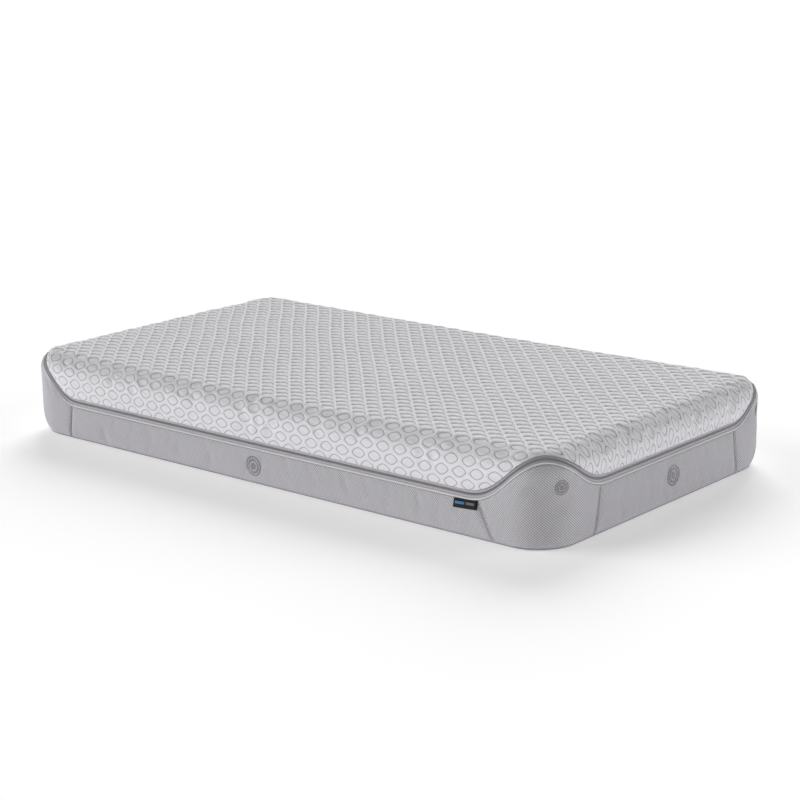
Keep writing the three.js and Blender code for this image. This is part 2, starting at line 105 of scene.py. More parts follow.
# ---- The knit's ring pattern, in millimetres ----
RING_PITCH = 37.8  # between rings in a row, along the mattress
ROW_PITCH = 20  # between staggered rows
RING_HALF_LONG = 14.0
RING_HALF_SHORT = 8.9
RING_POWER = 1.47  # 2 is an ellipse and 1 a diamond
RIB_PITCH = 11  # of the faint slanted ribs in the knit
KNIT_SKEW = 0.05  # the knit lies a little off square
KNIT_SHIFT = (21, 6.8)
KNIT_BOW = 15  # and its rows bow towards the ends
KNIT_BOW_HALF = 600
KNIT_DRIFT = 1.5  # the rings stray this far from their rows
KNIT_TIGHT = 20 / 19.1  # rows lie closer on the top than over the shoulders
KNIT_LOOSE = 20 / 21.5
TIGHT_HALF = 321
RIDGE_RISE = 0.42  # how far past the ring the ridge between rings is at its full height

# ---- The outline ----
STRAIGHT_X = HALF_X - CORNER_RADIUS
STRAIGHT_Y = HALF_Y - CORNER_RADIUS
ARC = math.pi / 2 * CORNER_RADIUS
QUARTER = STRAIGHT_X + ARC + STRAIGHT_Y  # perimeter from mid front to mid right
PERIMETER = 4 * QUARTER
WALL = HEIGHT - SHOULDER_RADIUS
OVER = WALL + math.pi / 2 * SHOULDER_RADIUS  # where the top goes flat
CORE = OVER + CORNER_RADIUS - SHOULDER_RADIUS  # where the corner's arc shrinks to a point
FIRST_CORNER = STRAIGHT_X + ARC / 2
SIDE_MIDDLES = {"front": 0.0, "right": QUARTER, "back": 2 * QUARTER, "left": 3 * QUARTER}
SIDE_NEIGHBOURS = {
    "front": ("front_left", "front_right"),
    "right": ("front_right", "back_right"),
    "back": ("back_right", "back_left"),
    "left": ("back_left", "front_left"),
}
CORNER_MIDDLES = {
    "front_right": FIRST_CORNER,
    "back_right": 2 * QUARTER - FIRST_CORNER,
    "back_left": 2 * QUARTER + FIRST_CORNER,
    "front_left": 4 * QUARTER - FIRST_CORNER,
}


def outline(s):
    """Points and outward normals of the outline, s along it from mid front towards +X."""
    along = np.mod(np.asarray(s, float), PERIMETER)
    half = np.where(along > 2 * QUARTER, -1.0, 1.0)
    u = np.where(half < 0, along - 2 * QUARTER, along)
    corner_end = STRAIGHT_X + ARC
    side_end = corner_end + 2 * STRAIGHT_Y
    first = (u - STRAIGHT_X) / CORNER_RADIUS - math.pi / 2
    second = (u - side_end) / CORNER_RADIUS
    parts = [u <= STRAIGHT_X, u <= corner_end, u <= side_end, u <= side_end + ARC]
    angle = np.select(parts, [-math.pi / 2 + 0 * u, first, 0 * u, second], math.pi / 2)
    nx, ny = np.cos(angle), np.sin(angle)
    nx, ny = np.where(np.abs(nx) < 1e-12, 0, nx), np.where(np.abs(ny) < 1e-12, 0, ny)
    arc_x = STRAIGHT_X + CORNER_RADIUS * nx
    x = np.select(parts, [u, arc_x, HALF_X + 0 * u, arc_x], 2 * QUARTER - u)
    y_low = -STRAIGHT_Y + CORNER_RADIUS * ny
    y_high = STRAIGHT_Y + CORNER_RADIUS * ny
    y = np.select(parts, [-HALF_Y + 0 * u, y_low, u - corner_end - STRAIGHT_Y, y_high], HALF_Y)
    return half * x, half * y, half * nx, half * ny


def ease(x):
    """A smooth step from 0 to 1."""
    return 0.5 - 0.5 * np.cos(np.pi * np.clip(x, 0, 1))


def away_from(middle, s):
    """The distance along the perimeter, either way round."""
    return np.abs(np.mod(s - middle + PERIMETER / 2, PERIMETER) - PERIMETER / 2)


def zip_line(s):
    """The height of the piping's middle, measured up the side and on over the shoulder."""
    u = np.mod(s, 2 * QUARTER)
    on_end = (u > FIRST_CORNER) & (u < 2 * QUARTER - FIRST_CORNER)
    level = np.where(on_end, LEVEL_END, LEVEL_LONG)
    rise = 0 * u
    for name, (reach, _, _) in CORNERS.items():
        rise = rise + ease(1 - away_from(CORNER_MIDDLES[name], s) / (reach * MM)) ** WAVE_POWER
    return level + (ZIP_PEAK - level) * rise


def tuck(s, z):
    """How far the cloth draws in at the foot, most of all at the corners."""
    total = FOOT_ROUND * np.clip(1 - z / FOOT_ROUND_HEIGHT, 0, 1) ** 2
    up = np.clip(1 - z / TUCK_HEIGHT, 0, 1) ** 2.2
    for name, middle in CORNER_MIDDLES.items():
        total = total + CORNER_TUCKS[name] * ease(1 - away_from(middle, s) / TUCK_REACH) * up
    return total


def place(s, h, t):
    """Points at perimeter s, height h up the side and over the shoulder, and depth t inwards."""
    s, h, t = np.broadcast_arrays(np.asarray(s, float), np.asarray(h, float), np.asarray(t, float))
    x, y, nx, ny = outline(s)
    turn = np.clip((h - WALL) / SHOULDER_RADIUS, 0, math.pi / 2)
    past = np.maximum(h - OVER, 0)
    inset = SHOULDER_RADIUS - (SHOULDER_RADIUS - t) * np.cos(turn) + past
    z = np.minimum(h, WALL) + (SHOULDER_RADIUS - t) * np.sin(turn)
    inset = inset + tuck(s, z)
    points = np.stack([x - nx * inset, y - ny * inset, z], -1)
    return settle(points)


def settle(points):
    """The whole mattress lies a little lower in the middle of its length."""
    made = np.array(points, float)
    along = 1 - (made[..., 0] / HALF_X) ** 2
    made[..., 2] += (CROWN - SAG * along) * np.clip(made[..., 2] / HEIGHT, 0, 1) ** 2
    return made


def cloth_point(s, h):
    """Where a point of the wrapped knit lies on the flat cloth."""
    x, y, nx, ny = outline(s)
    inset = SHOULDER_RADIUS + h - OVER
    return x - nx * inset, y - ny * inset


# ---- Pattern ----
def pattern_point(x, y):
    """Where a point of the flat cloth falls in the ring pattern, which was never laid quite square."""
    u, v = np.asarray(x) / MM, np.asarray(y) / MM
    drift = KNIT_DRIFT * np.sin(v / 47 + 1.3 * np.sin(u / 160))
    level = v - KNIT_BOW * (u / KNIT_BOW_HALF) ** 2
    near = np.clip(level, -TIGHT_HALF, TIGHT_HALF)
    level = near * KNIT_TIGHT + (level - near) * KNIT_LOOSE
    return np.stack([u - KNIT_SKEW * v - KNIT_SHIFT[0] + drift, level - KNIT_SHIFT[1]], -1) * MM


def ring_measure(u, v):
    """1 on a ring's line, less inside it and more outside. u and v are in millimetres."""
    best = None
    for shift_u, shift_v in ((0, 0), (RING_PITCH / 2, ROW_PITCH)):
        du = np.abs(np.mod(u - shift_u + RING_PITCH / 2, RING_PITCH) - RING_PITCH / 2)
        dv = np.abs(np.mod(v - shift_v + ROW_PITCH, 2 * ROW_PITCH) - ROW_PITCH)
        long_part = (du / RING_HALF_LONG) ** RING_POWER
        short_part = (dv / RING_HALF_SHORT) ** RING_POWER
        g = (long_part + short_part) ** (1 / RING_POWER)
        best = g if best is None else np.minimum(best, g)
    return best


def knit_relief(u, v):
    """Height of the quilted knit: ridges between the rings, and a low dome inside each."""
    g = ring_measure(u, v)
    ridge = np.clip((g - 1) / RIDGE_RISE, 0, 1)
    dome = 0.15 * np.clip(1 - g * g, 0, 1)
    return ridge * ridge * (3 - 2 * ridge) + dome


# ---- Meshes ----
def add_mesh(name, points, faces, uvs=None, smooth=True):
    """A mesh object from points and faces, with uvs as one pair for each point, in metres."""
    mesh = bpy.data.meshes.new(name)
    mesh.from_pydata(np.asarray(points).reshape(-1, 3).tolist(), [], faces)
    mesh.validate()
    if uvs is not None:
        layer = mesh.uv_layers.new(name="cloth")
        corners = np.zeros(len(mesh.loops), np.int32)
        mesh.loops.foreach_get("vertex_index", corners)
        pairs = np.asarray(uvs, float).reshape(-1, 2)[corners]
        layer.data.foreach_set("uv", pairs.astype(np.float32).ravel())
    mesh.polygons.foreach_set("use_smooth", np.full(len(mesh.polygons), smooth))
    mesh.update()
    obj = bpy.data.objects.new(name, mesh)
    bpy.context.scene.collection.objects.link(obj)
    return obj


def grid_faces(rows, columns, base=0, flip=False, close_rows=False, close_columns=False):
    """Quads between the points of a grid, which may close on itself either way."""
    faces = []
    for r in range(rows if close_rows else rows - 1):
        here, there = base + r * columns, base + (r + 1) % rows * columns
        for c in range(columns if close_columns else columns - 1):
            d = (c + 1) % columns
            quad = (here + c, here + d, there + d, there + c)
            faces.append(quad[::-1] if flip else quad)
    return faces


def end_caps(rows, count, base=0, flip=False):
    """One face at each end of a tube of rings, looking outwards, or inwards if flipped."""
    first = [base + c for c in range(count)]
    last = [base + (rows - 1) * count + c for c in range(count)]
    return [tuple(first if flip else first[::-1]), tuple(last[::-1] if flip else last)]


def shell(name, outer, inner, uv):
    """A closed sheet: outer and inner are grids (row up, column along), joined round the rim."""
    rows, columns = outer.shape[:2]
    count = rows * columns
    faces = grid_faces(rows, columns) + grid_faces(rows, columns, count, flip=True)
    for r in range(rows - 1):
        a, b = r * columns, (r + 1) * columns
        faces.append((a, b, count + b, count + a))
        a, b = a + columns - 1, b + columns - 1
        faces.append((b, a, count + a, count + b))
    for c in range(columns - 1):
        faces.append((c + 1, c, count + c, count + c + 1))
        a = (rows - 1) * columns + c
        faces.append((a, a + 1, count + a + 1, count + a))
    points = np.concatenate([outer.reshape(-1, 3), inner.reshape(-1, 3)])
    return add_mesh(name, points, faces, np.concatenate([uv.reshape(-1, 2)] * 2))


def ring_band(name, stations, section):
    """A band round the mattress: section(s) lists (height, depth) pairs, upwards on the outside."""
    pairs = [np.broadcast_arrays(stations, h, t)[1:] for h, t in section(stations)]
    heights = np.array([h for h, _ in pairs])
    depths = np.array([t for _, t in pairs])
    grid = place(stations[None, :], heights, depths)
    uv = np.stack([np.broadcast_to(stations, heights.shape), heights - zip_line(stations)], -1)
    rows, columns = heights.shape
    faces = grid_faces(rows, columns, close_rows=True, close_columns=True)
    return add_mesh(name, grid, faces, uv)


def around(step):
    """Even stations all round, about step apart."""
    count = int(round(PERIMETER / step))
    return np.arange(count) * PERIMETER / count


def joined_islands(name, template, faces, frames):
    """Copies of a small closed template, one for each (origin, x, y, z) frame."""
    origins, xs, ys, zs = (np.asarray(part, float) for part in frames)
    made = origins[:, None] + template[None, :, :1] * xs[:, None]
    made = made + template[None, :, 1:2] * ys[:, None] + template[None, :, 2:] * zs[:, None]
    count = len(template)
    all_faces = [tuple(i * count + v for v in face) for i in range(len(origins)) for face in faces]
    return add_mesh(name, made, all_faces, np.tile(template[:, :2], (len(origins), 1)))


def capsule(length, radius, sides):
    """A stitch's or a tooth's rounded bar, along x."""
    rings = [(-0.36, 0.8), (0.0, 1.0), (0.36, 0.8)]
    points = [(-length / 2, 0, 0)]
    for along, wide in rings:
        for k in range(sides):
            a = 2 * math.pi * k / sides
            points.append((along * length, radius * wide * math.cos(a), radius * wide * math.sin(a)))
    points.append((length / 2, 0, 0))
    last = len(points) - 1
    faces = []
    for k in range(sides):
        j = (k + 1) % sides
        faces.append((0, 1 + j, 1 + k))
        for a in (1, 1 + sides):
            faces.append((a + k, a + j, a + sides + j, a + sides + k))
        faces.append((1 + 2 * sides + k, 1 + 2 * sides + j, last))
    return np.array(points), faces


def unit(v):
    return v / np.maximum(np.linalg.norm(v, axis=-1, keepdims=True), 1e-12)


def frames_along(surface, s, h, lean):
    """Frames on a surface(s, h): x along the line of points, z out of the surface."""
    eps = 0.5 * MM
    origin = surface(s, h)
    along = unit(surface(s + eps, h) - surface(s - eps, h))
    up = unit(surface(s, h + eps) - surface(s, h - eps))
    out = unit(np.cross(along, up))
    x = unit(np.cos(lean)[..., None] * along + np.sin(lean)[..., None] * up)
    return origin, x, np.cross(out, x), out


def line_of_stitches(surface, s, h, pitch):
    """Frames of stitches pitch apart along the line of points (s, h) on the surface."""
    points = surface(s, h)
    steps = np.linalg.norm(np.diff(points, axis=0), axis=1)
    travelled = np.concatenate([[0], np.cumsum(steps)])
    at = np.arange(pitch / 2, travelled[-1], pitch)
    here_s, here_h = np.interp(at, travelled, s), np.interp(at, travelled, h)
    ahead = np.minimum(at + pitch / 4, travelled[-1])
    ds = np.interp(ahead, travelled, s) - here_s
    dh = np.interp(ahead, travelled, h) - here_h
    return frames_along(surface, here_s, here_h, np.arctan2(dh, ds))


def stack_frames(many):
    """Several sets of frames as one."""
    return [np.concatenate([f[i] for f in many]) for i in range(4)]


def finish_piece(obj, material, body, replaces=()):
    """Gives a piece its material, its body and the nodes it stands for."""
    obj.data.materials.clear()
    obj.data.materials.append(material)
    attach(obj, body)
    if replaces:
        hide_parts(*replaces)


# Stitches and teeth: the length, the radius and how many sides
SEAM_STITCH = (3.0 * MM, 0.42 * MM, 5)
TAPE_STITCH = (2.4 * MM, 0.3 * MM, 4)
FOOT_STITCH = (2.6 * MM, 0.32 * MM, 4)
CARE_STITCH = (2.4 * MM, 0.28 * MM, 4)
COIL_TOOTH = (2.8 * MM, 0.68 * MM, 5)


def sew(name, frames, bar, material, body, replaces=()):
    """Stitches or teeth, one on each frame, as one piece."""
    template, faces = capsule(*bar)
    finish_piece(joined_islands(name, template, faces, frames), material, body, replaces)


# ---- Material nodes ----
class Nodes:
    """A material's node tree, with short calls for the nodes used here."""

    def __init__(self, name, roughness=0.85, metallic=0.0, sheen=0.0):
        self.material = bpy.data.materials.new(name)
        self.material.use_nodes = True
        self.tree = self.material.node_tree
        self.shader = self.tree.nodes["Principled BSDF"]
        self.shader.inputs["Roughness"].default_value = roughness
        self.shader.inputs["Metallic"].default_value = metallic
        self.shader.inputs["Sheen Weight"].default_value = sheen
        self.shader.inputs["Sheen Roughness"].default_value = 0.5

    def put(self, socket, value):
        if isinstance(value, bpy.types.NodeSocket):
            self.tree.links.new(value, socket)
        else:
            socket.default_value = value

    def math(self, operation, *values, clamp=False):
        node = self.tree.nodes.new("ShaderNodeMath")
        node.operation = operation
        node.use_clamp = clamp
        for socket, value in zip(node.inputs, values):
            self.put(socket, value)
        return node.outputs[0]

    def cloth_uv(self):
        """The piece's own flat coordinates, in millimetres."""
        uv = self.tree.nodes.new("ShaderNodeUVMap")
        uv.uv_map = "cloth"
        split = self.tree.nodes.new("ShaderNodeSeparateXYZ")
        self.put(split.inputs[0], uv.outputs[0])
        return [self.math("MULTIPLY", split.outputs[i], 1 / MM) for i in range(2)]

    def step(self, value, low, high):
        """0 below low, 1 above high, smooth between."""
        node = self.tree.nodes.new("ShaderNodeMapRange")
        node.interpolation_type = "SMOOTHSTEP"
        for socket, x in zip(node.inputs, (value, low, high, 0.0, 1.0)):
            self.put(socket, x)
        return node.outputs[0]

    def noise(self, scale, detail=2.0, stretch=(1, 1, 1)):
        """Noise in object space, scale in cells to the metre."""
        at = self.tree.nodes.new("ShaderNodeTexCoord")
        mapping = self.tree.nodes.new("ShaderNodeMapping")
        mapping.inputs["Scale"].default_value = stretch
        node = self.tree.nodes.new("ShaderNodeTexNoise")
        node.inputs["Scale"].default_value = scale
        node.inputs["Detail"].default_value = detail
        self.put(mapping.inputs[0], at.outputs["Object"])
        self.put(node.inputs["Vector"], mapping.outputs[0])
        return node.outputs[0]

    def voronoi(self, scale):
        at = self.tree.nodes.new("ShaderNodeTexCoord")
        node = self.tree.nodes.new("ShaderNodeTexVoronoi")
        node.inputs["Scale"].default_value = scale
        self.put(node.inputs["Vector"], at.outputs["Object"])
        return node.outputs["Distance"]

    def wave(self, value, period, phase=0.0):
        """A sine of the value, from 0 to 1, over the period."""
        turned = self.math("MULTIPLY_ADD", value, 2 * math.pi / period, phase)
        return self.math("MULTIPLY_ADD", self.math("SINE", turned), 0.5, 0.5)

    def mix(self, share, a, b):
        node = self.tree.nodes.new("ShaderNodeMix")
        node.data_type = "RGBA"
        self.put(node.inputs[0], share)
        self.put(node.inputs[6], a)
        self.put(node.inputs[7], b)
        return node.outputs[2]

    def tint(self, colour, value, amount, towards):
        """A colour mixed towards another by an amount of the value."""
        return self.mix(self.math("MULTIPLY", value, amount), colour, towards)

    def less(self, value):
        return self.math("SUBTRACT", 1.0, value)

    def slant(self, u, v, lean, period):
        """A wave along u that leans with v."""
        return self.wave(self.math("MULTIPLY_ADD", v, lean, u), period)

    def total(self, *parts):
        """The sum of (value, weight) pairs."""
        made = 0.0
        for value, weight in parts:
            made = self.math("MULTIPLY_ADD", value, weight, made)
        return made

    def finish(self, colour, height=None, roughness=None):
        """Sets the colour, the bump from a height in millimetres, and the roughness."""
        self.put(self.shader.inputs["Base Color"], colour)
        if roughness is not None:
            self.put(self.shader.inputs["Roughness"], roughness)
        if height is not None:
            bump = self.tree.nodes.new("ShaderNodeBump")
            bump.inputs["Distance"].default_value = MM
            self.put(bump.inputs["Height"], height)
            self.put(self.shader.inputs["Normal"], bump.outputs[0])
        return self.material


def grey(level, tint=(1, 1, 1)):
    """A colour from a display level of 0 to 255, slightly tinted."""
    linear = (level / 255) ** 2.2
    return (linear * tint[0], linear * tint[1], linear * tint[2], 1.0)


COOL = (0.985, 0.98, 1.02)
PURPLE = (0.99, 0.945, 1.02)
CREAM = (1, 0.98, 0.9)
DEEP_CREAM = (1, 0.96, 0.84)


def lattice(n, value, pitch, shift):
    """The distance from value to the nearest whole pitch, after a shift."""
    moved = n.math("SUBTRACT", value, shift)
    return n.math("ABSOLUTE", n.math("WRAP", moved, pitch / 2, -pitch / 2))


def staggered(n, u, v, pitch_u, pitch_v, half_u, half_v, power):
    """1 on the line of the nearest spot of a staggered pattern, less inside and more outside."""
    found = []
    for shift in (0.0, 0.5):
        du = lattice(n, u, pitch_u, shift * pitch_u)
        dv = lattice(n, v, pitch_v, shift * pitch_v)
        long_part = n.math("POWER", n.math("DIVIDE", du, half_u), power)
        short_part = n.math("POWER", n.math("DIVIDE", dv, half_v), power)
        found.append(n.math("POWER", n.math("ADD", long_part, short_part), 1 / power))
    return n.math("MINIMUM", *found)


def knit_material():
    """Jacquard knit: pale ridges round rings with a fine grey line, over fine ribbed loops."""
    n = Nodes("ring_knit", roughness=0.88, sheen=0.15)
    u, v = n.cloth_uv()
    g = staggered(n, u, v, RING_PITCH, 2 * ROW_PITCH, RING_HALF_LONG, RING_HALF_SHORT, RING_POWER)
    from_line = n.math("ABSOLUTE", n.math("SUBTRACT", g, 1.0))
    line = n.less(n.step(from_line, 0.03, 0.11))
    ridge = n.step(g, 1.05, 1.05 + RIDGE_RISE)
    spot = n.less(n.step(g, 0.1, 0.38))
    ribs = n.slant(v, u, 0.22, RIB_PITCH)
    courses = n.wave(v, 1.5)
    wales = n.wave(u, 1.9)
    loops = n.math("MULTIPLY", courses, wales)
    cloudy = n.noise(9.0, 3.0)
    fuzz = n.noise(900.0, 2.0)
    ground = n.mix(ridge, grey(240, COOL), grey(242, COOL))
    ground = n.tint(ground, spot, 0.12, grey(210, COOL))
    ground = n.tint(ground, loops, 0.14, grey(205, COOL))
    ground = n.tint(ground, cloudy, 0.1, grey(215, PURPLE))
    colour = n.tint(ground, line, 0.85, grey(164, PURPLE))
    height = n.total((ridge, 0.3), (line, -0.5), (ribs, 0.45), (loops, 0.1), (fuzz, 0.12))
    roughness = n.math("MULTIPLY_ADD", cloudy, 0.12, 0.8)
    return n.finish(colour, height, roughness)


def lining_material():
    """The cover's plain white backing: fine straight ribs of tricot."""
    n = Nodes("backing_tricot", roughness=0.8)
    u, v = n.cloth_uv()
    ribs = n.wave(u, 1.6)
    rows = n.wave(v, 2.2)
    colour = n.mix(ribs, grey(205, COOL), grey(228, COOL))
    colour = n.tint(colour, n.noise(14.0), 0.2, grey(190))
    return n.finish(colour, n.total((ribs, 0.25), (rows, 0.1)))


MESH_PITCH = (5.2, 4.6)  # of the mesh's eyelets, in millimetres


def border_material():
    """Warp-knit spacer mesh: staggered eyelets between bright diagonal yarns, with painted shade in the
    eyelets.
    """
    n = Nodes("border_mesh", roughness=0.75, sheen=0.1)
    u, v = n.cloth_uv()
    g = staggered(n, u, v, MESH_PITCH[0], MESH_PITCH[1], 1.2, 1.0, 2.0)
    # hole marks the eyelets: it darkens them as painted shade, and dips them in the bump
    hole = n.less(n.step(g, 0.6, 1.3))
    lean = MESH_PITCH[1] / MESH_PITCH[0]
    slant = n.slant(v, u, lean, MESH_PITCH[1])
    cross = n.slant(v, u, -lean, MESH_PITCH[1])
    yarn = n.wave(v, 0.9)
    cloudy = n.noise(7.0, 3.0)
    fuzz = n.noise(700.0, 2.0)
    bands = n.slant(u, v, -0.62, 11.0)
    colour = n.mix(slant, grey(176, PURPLE), grey(255, COOL))
    colour = n.tint(colour, bands, 0.25, grey(205, PURPLE))
    colour = n.tint(colour, cross, 0.12, grey(198, PURPLE))
    # painted shade: the eyelets are tinted darker for the shade down inside them
    colour = n.tint(colour, hole, 0.6, grey(140, PURPLE))
    colour = n.tint(colour, cloudy, 0.15, grey(196, PURPLE))
    height = n.total((slant, 0.4), (cross, 0.15), (hole, -0.9), (yarn, 0.06), (fuzz, 0.1))
    roughness = n.math("MULTIPLY_ADD", cloudy, 0.2, 0.65)
    return n.finish(colour, height, roughness)


def tape_material():
    """Zip tape: fine lengthwise ribs with a slanted twill in them."""
    n = Nodes("zip_tape", roughness=0.7, sheen=0.1)
    u, v = n.cloth_uv()
    ribs = n.wave(v, 0.9)
    twill = n.slant(u, v, 1.0, 1.3)
    colour = n.tint(grey(196, PURPLE), twill, 0.5, grey(216, PURPLE))
    colour = n.tint(colour, n.noise(30.0), 0.25, grey(182, PURPLE))
    return n.finish(colour, n.total((ribs, 0.12), (twill, 0.08)))


def chain_material():
    """Slightly glossy nylon, a little cloudy."""
    n = Nodes("coil_nylon", roughness=0.42)
    cloudy = n.noise(200.0)
    colour = n.mix(cloudy, grey(150, PURPLE), grey(180, PURPLE))
    return n.finish(colour, None, n.math("MULTIPLY_ADD", cloudy, 0.2, 0.32))


def piping_material():
    """White satin cord: slanted threads round it."""
    n = Nodes("piping_satin", roughness=0.5, sheen=0.2)
    u, v = n.cloth_uv()
    twist = n.slant(u, v, 1.6, 1.4)
    colour = n.mix(twist, grey(232), grey(250))
    return n.finish(colour, n.total((twist, 0.16)), n.math("MULTIPLY_ADD", twist, 0.15, 0.42))


def thread_material(name, dark, pale, period, slant=0.0):
    """Sewing or embroidery thread: fine bright strands."""
    n = Nodes(name, roughness=0.45, sheen=0.2)
    u, v = n.cloth_uv()
    strands = n.slant(u, v, slant, period)
    colour = n.mix(strands, dark, pale)
    return n.finish(colour, n.total((strands, 0.1)), n.math("MULTIPLY_ADD", strands, 0.2, 0.35))


def binding_material():
    """Ribbed grey tape, darker in patches."""
    n = Nodes("binding_tape", roughness=0.8)
    u, v = n.cloth_uv()
    ribs = n.wave(u, 1.1)
    colour = n.mix(ribs, grey(176, PURPLE), grey(200, PURPLE))
    colour = n.tint(colour, n.noise(25.0), 0.25, grey(100))
    return n.finish(colour, n.total((ribs, 0.2), (n.wave(v, 1.0), 0.06)))


def woven_label_material(name, dark, pale, roughness):
    """A damask label: fine warp and weft with a soft gloss."""
    n = Nodes(name, roughness=roughness)
    u, v = n.cloth_uv()
    warp, weft = n.wave(u, 0.5), n.wave(v, 0.42)
    weave = n.math("MULTIPLY", warp, weft)
    colour = n.mix(weave, dark, pale)
    return n.finish(colour, n.total((weave, 0.06)), n.math("MULTIPLY_ADD", weave, 0.2, roughness))


def care_material():
    """A white printed label: plain grey lines in place of words."""
    n = Nodes("care_white", roughness=0.6)
    u, v = n.cloth_uv()
    weave = n.math("MULTIPLY", n.wave(u, 0.5), n.wave(v, 0.42))
    line = n.step(n.wave(v, 5.2), 0.72, 0.84)
    within = n.less(n.step(n.math("ABSOLUTE", u), 21.0, 22.0))
    clear = n.math("MULTIPLY", n.step(v, 8.0, 9.0), n.less(n.step(v, 40.0, 41.0)))
    broken = n.step(n.noise(90.0), 0.4, 0.46)
    printed = n.math("MULTIPLY", line, within)
    printed = n.math("MULTIPLY", printed, n.math("MULTIPLY", clear, broken))
    colour = n.mix(weave, grey(210), grey(232))
    colour = n.tint(colour, printed, 0.8, grey(120))
    return n.finish(colour, n.total((weave, 0.06)), n.math("MULTIPLY_ADD", weave, 0.2, 0.55))


def bottom_material():
    """Brushed nylon under the mattress, with a faint check."""
    n = Nodes("bottom_fabric", roughness=0.9, sheen=0.2)
    u, v = n.cloth_uv()
    check = n.math("MULTIPLY", n.wave(u, 2.4), n.wave(v, 2.4))
    brushed = n.noise(120.0, 4.0, (1, 6, 1))
    colour = n.mix(brushed, grey(138, PURPLE), grey(164, COOL))
    colour = n.tint(colour, check, 0.3, grey(124, PURPLE))
    return n.finish(colour, n.total((check, 0.15), (brushed, 0.3)))


def rubber_material():
    """Pale grip rubber."""
    n = Nodes("grip_dots", roughness=0.5)
    cloudy = n.noise(300.0)
    colour = n.mix(cloudy, grey(196), grey(214))
    return n.finish(colour, n.total((cloudy, 0.08)), n.math("MULTIPLY_ADD", cloudy, 0.2, 0.4))


def sleeve_material():
    """Stretchy fire-barrier knit: soft ribs with a woolly surface."""
    n = Nodes("sleeve_knit", roughness=0.95, sheen=0.3)
    u, v = n.cloth_uv()
    ribs = n.wave(u, 3.2)
    loops = n.wave(v, 1.8)
    woolly = n.noise(260.0, 4.0)
    colour = n.mix(ribs, grey(206, (1, 0.985, 0.95)), grey(232, (1, 0.99, 0.965)))
    colour = n.tint(colour, woolly, 0.3, grey(196, (1, 0.98, 0.94)))
    return n.finish(colour, n.total((ribs, 0.5), (loops, 0.12), (woolly, 0.5)))


def foam_material(name, pale, dark, cells):
    """Cut foam: open cells of mixed sizes."""
    n = Nodes(name, roughness=0.95)
    small, large = n.voronoi(cells), n.voronoi(cells * 0.37)
    cloudy = n.noise(12.0, 4.0)
    colour = n.mix(n.step(small, 0.15, 0.75), pale, dark)
    colour = n.tint(colour, cloudy, 0.25, dark)
    return n.finish(colour, n.total((small, -0.5), (large, -0.4)))


def metal_material():
    """Brushed nickel with worn, cloudy gloss."""
    n = Nodes("nickel", roughness=0.3, metallic=1.0)
    brushed = n.noise(900.0, 3.0, (1, 12, 12))
    cloudy = n.noise(150.0, 3.0)
    colour = n.mix(cloudy, grey(176), grey(206, (1, 0.99, 0.97)))
    roughness = n.total((brushed, 0.16), (cloudy, 0.12))
    roughness = n.math("ADD", roughness, 0.16)
    return n.finish(colour, n.total((brushed, 0.015)), roughness)


# ---- Cloth simulation ----
SIM_FRAMES = 20
BORDER_PRESSURE, BORDER_SLACK, BORDER_CAP = 4.0, 0.006, 3.0 * MM
COVER_PRESSURE, COVER_SLACK, COVER_CAP = 3.0, 0.01, 3.0 * MM


def sewn_sheet(grids, points):
    """The coarse sheets as one mesh, with every sheet's rim in a group of its own."""
    faces, rims, base = [], [], 0
    for grid in grids:
        rows, columns = grid.shape[:2]
        faces += grid_faces(rows, columns, base)
        index = base + np.arange(rows * columns).reshape(rows, columns)
        rims += [index[0], index[-1], index[:, 0], index[:, -1]]
        base += rows * columns
    sheet = add_mesh("cloth_sheet", points, faces)
    pins = sheet.vertex_groups.new(name="sewn")
    pins.add(np.unique(np.concatenate(rims)).tolist(), 1.0, "REPLACE")
    return sheet


def set_cloth(sheet, pressure, slack):
    """The simulation: a light, stretchy cloth, pinned at its rims, with pressure behind it."""
    cloth = sheet.modifiers.new("cloth", "CLOTH")
    settings = cloth.settings
    settings.quality = 6
    settings.mass = 0.3
    settings.tension_stiffness = settings.compression_stiffness = 12
    settings.shear_stiffness = 4
    settings.bending_stiffness = 0.4
    settings.vertex_group_mass = "sewn"
    settings.shrink_min = -slack
    settings.use_pressure = True
    settings.uniform_pressure_force = pressure
    settings.effector_weights.gravity = 0
    cloth.collision_settings.use_collision = False
    cloth.point_cache.frame_start, cloth.point_cache.frame_end = 1, SIM_FRAMES


def inflate(grids, pressure, slack, cap):
    """Blows coarse sheets out from behind while their rims are sewn down, and returns how far
    each point moved. The sheets are cut slack times larger than their place, so they pucker."""
    before = np.concatenate([grid.reshape(-1, 3) for grid in grids])
    sheet = sewn_sheet(grids, before)
    set_cloth(sheet, pressure, slack)
    for number in range(1, SIM_FRAMES + 1):
        bpy.context.scene.frame_set(number)
    evaluated = sheet.evaluated_get(bpy.context.evaluated_depsgraph_get())
    after = np.zeros(before.size, np.float32)
    evaluated.data.vertices.foreach_get("co", after)
    moved = after.reshape(-1, 3) - before
    size = np.linalg.norm(moved, axis=1, keepdims=True)
    moved = moved * (cap * np.tanh(size / cap) / np.maximum(size, 1e-9))
    bpy.data.objects.remove(sheet)
    bpy.context.scene.frame_set(1)
    ends = np.cumsum([grid.shape[0] * grid.shape[1] for grid in grids])
    parts = np.split(moved, ends[:-1])
    return [part.reshape(grid.shape) for part, grid in zip(parts, grids)]


def sample(field, row, column):
    """Smooth (Catmull-Rom) reading of a coarse grid at row and column shares from 0 to 1."""
    def weights(share, count):
        at = np.clip(share, 0, 1) * (count - 1)
        low = np.minimum(np.floor(at), count - 2).astype(int)
        f = at - low
        w = [-f / 2 + f**2 - f**3 / 2, 1 - 2.5 * f**2 + 1.5 * f**3,
             f / 2 + 2 * f**2 - 1.5 * f**3, -f**2 / 2 + f**3 / 2]
        return [(np.clip(low + k - 1, 0, count - 1), w[k]) for k in range(4)]
    rows, columns = weights(row, field.shape[0]), weights(column, field.shape[1])
    return sum(field[i, j] * (a * b)[..., None] for i, a in rows for j, b in columns)


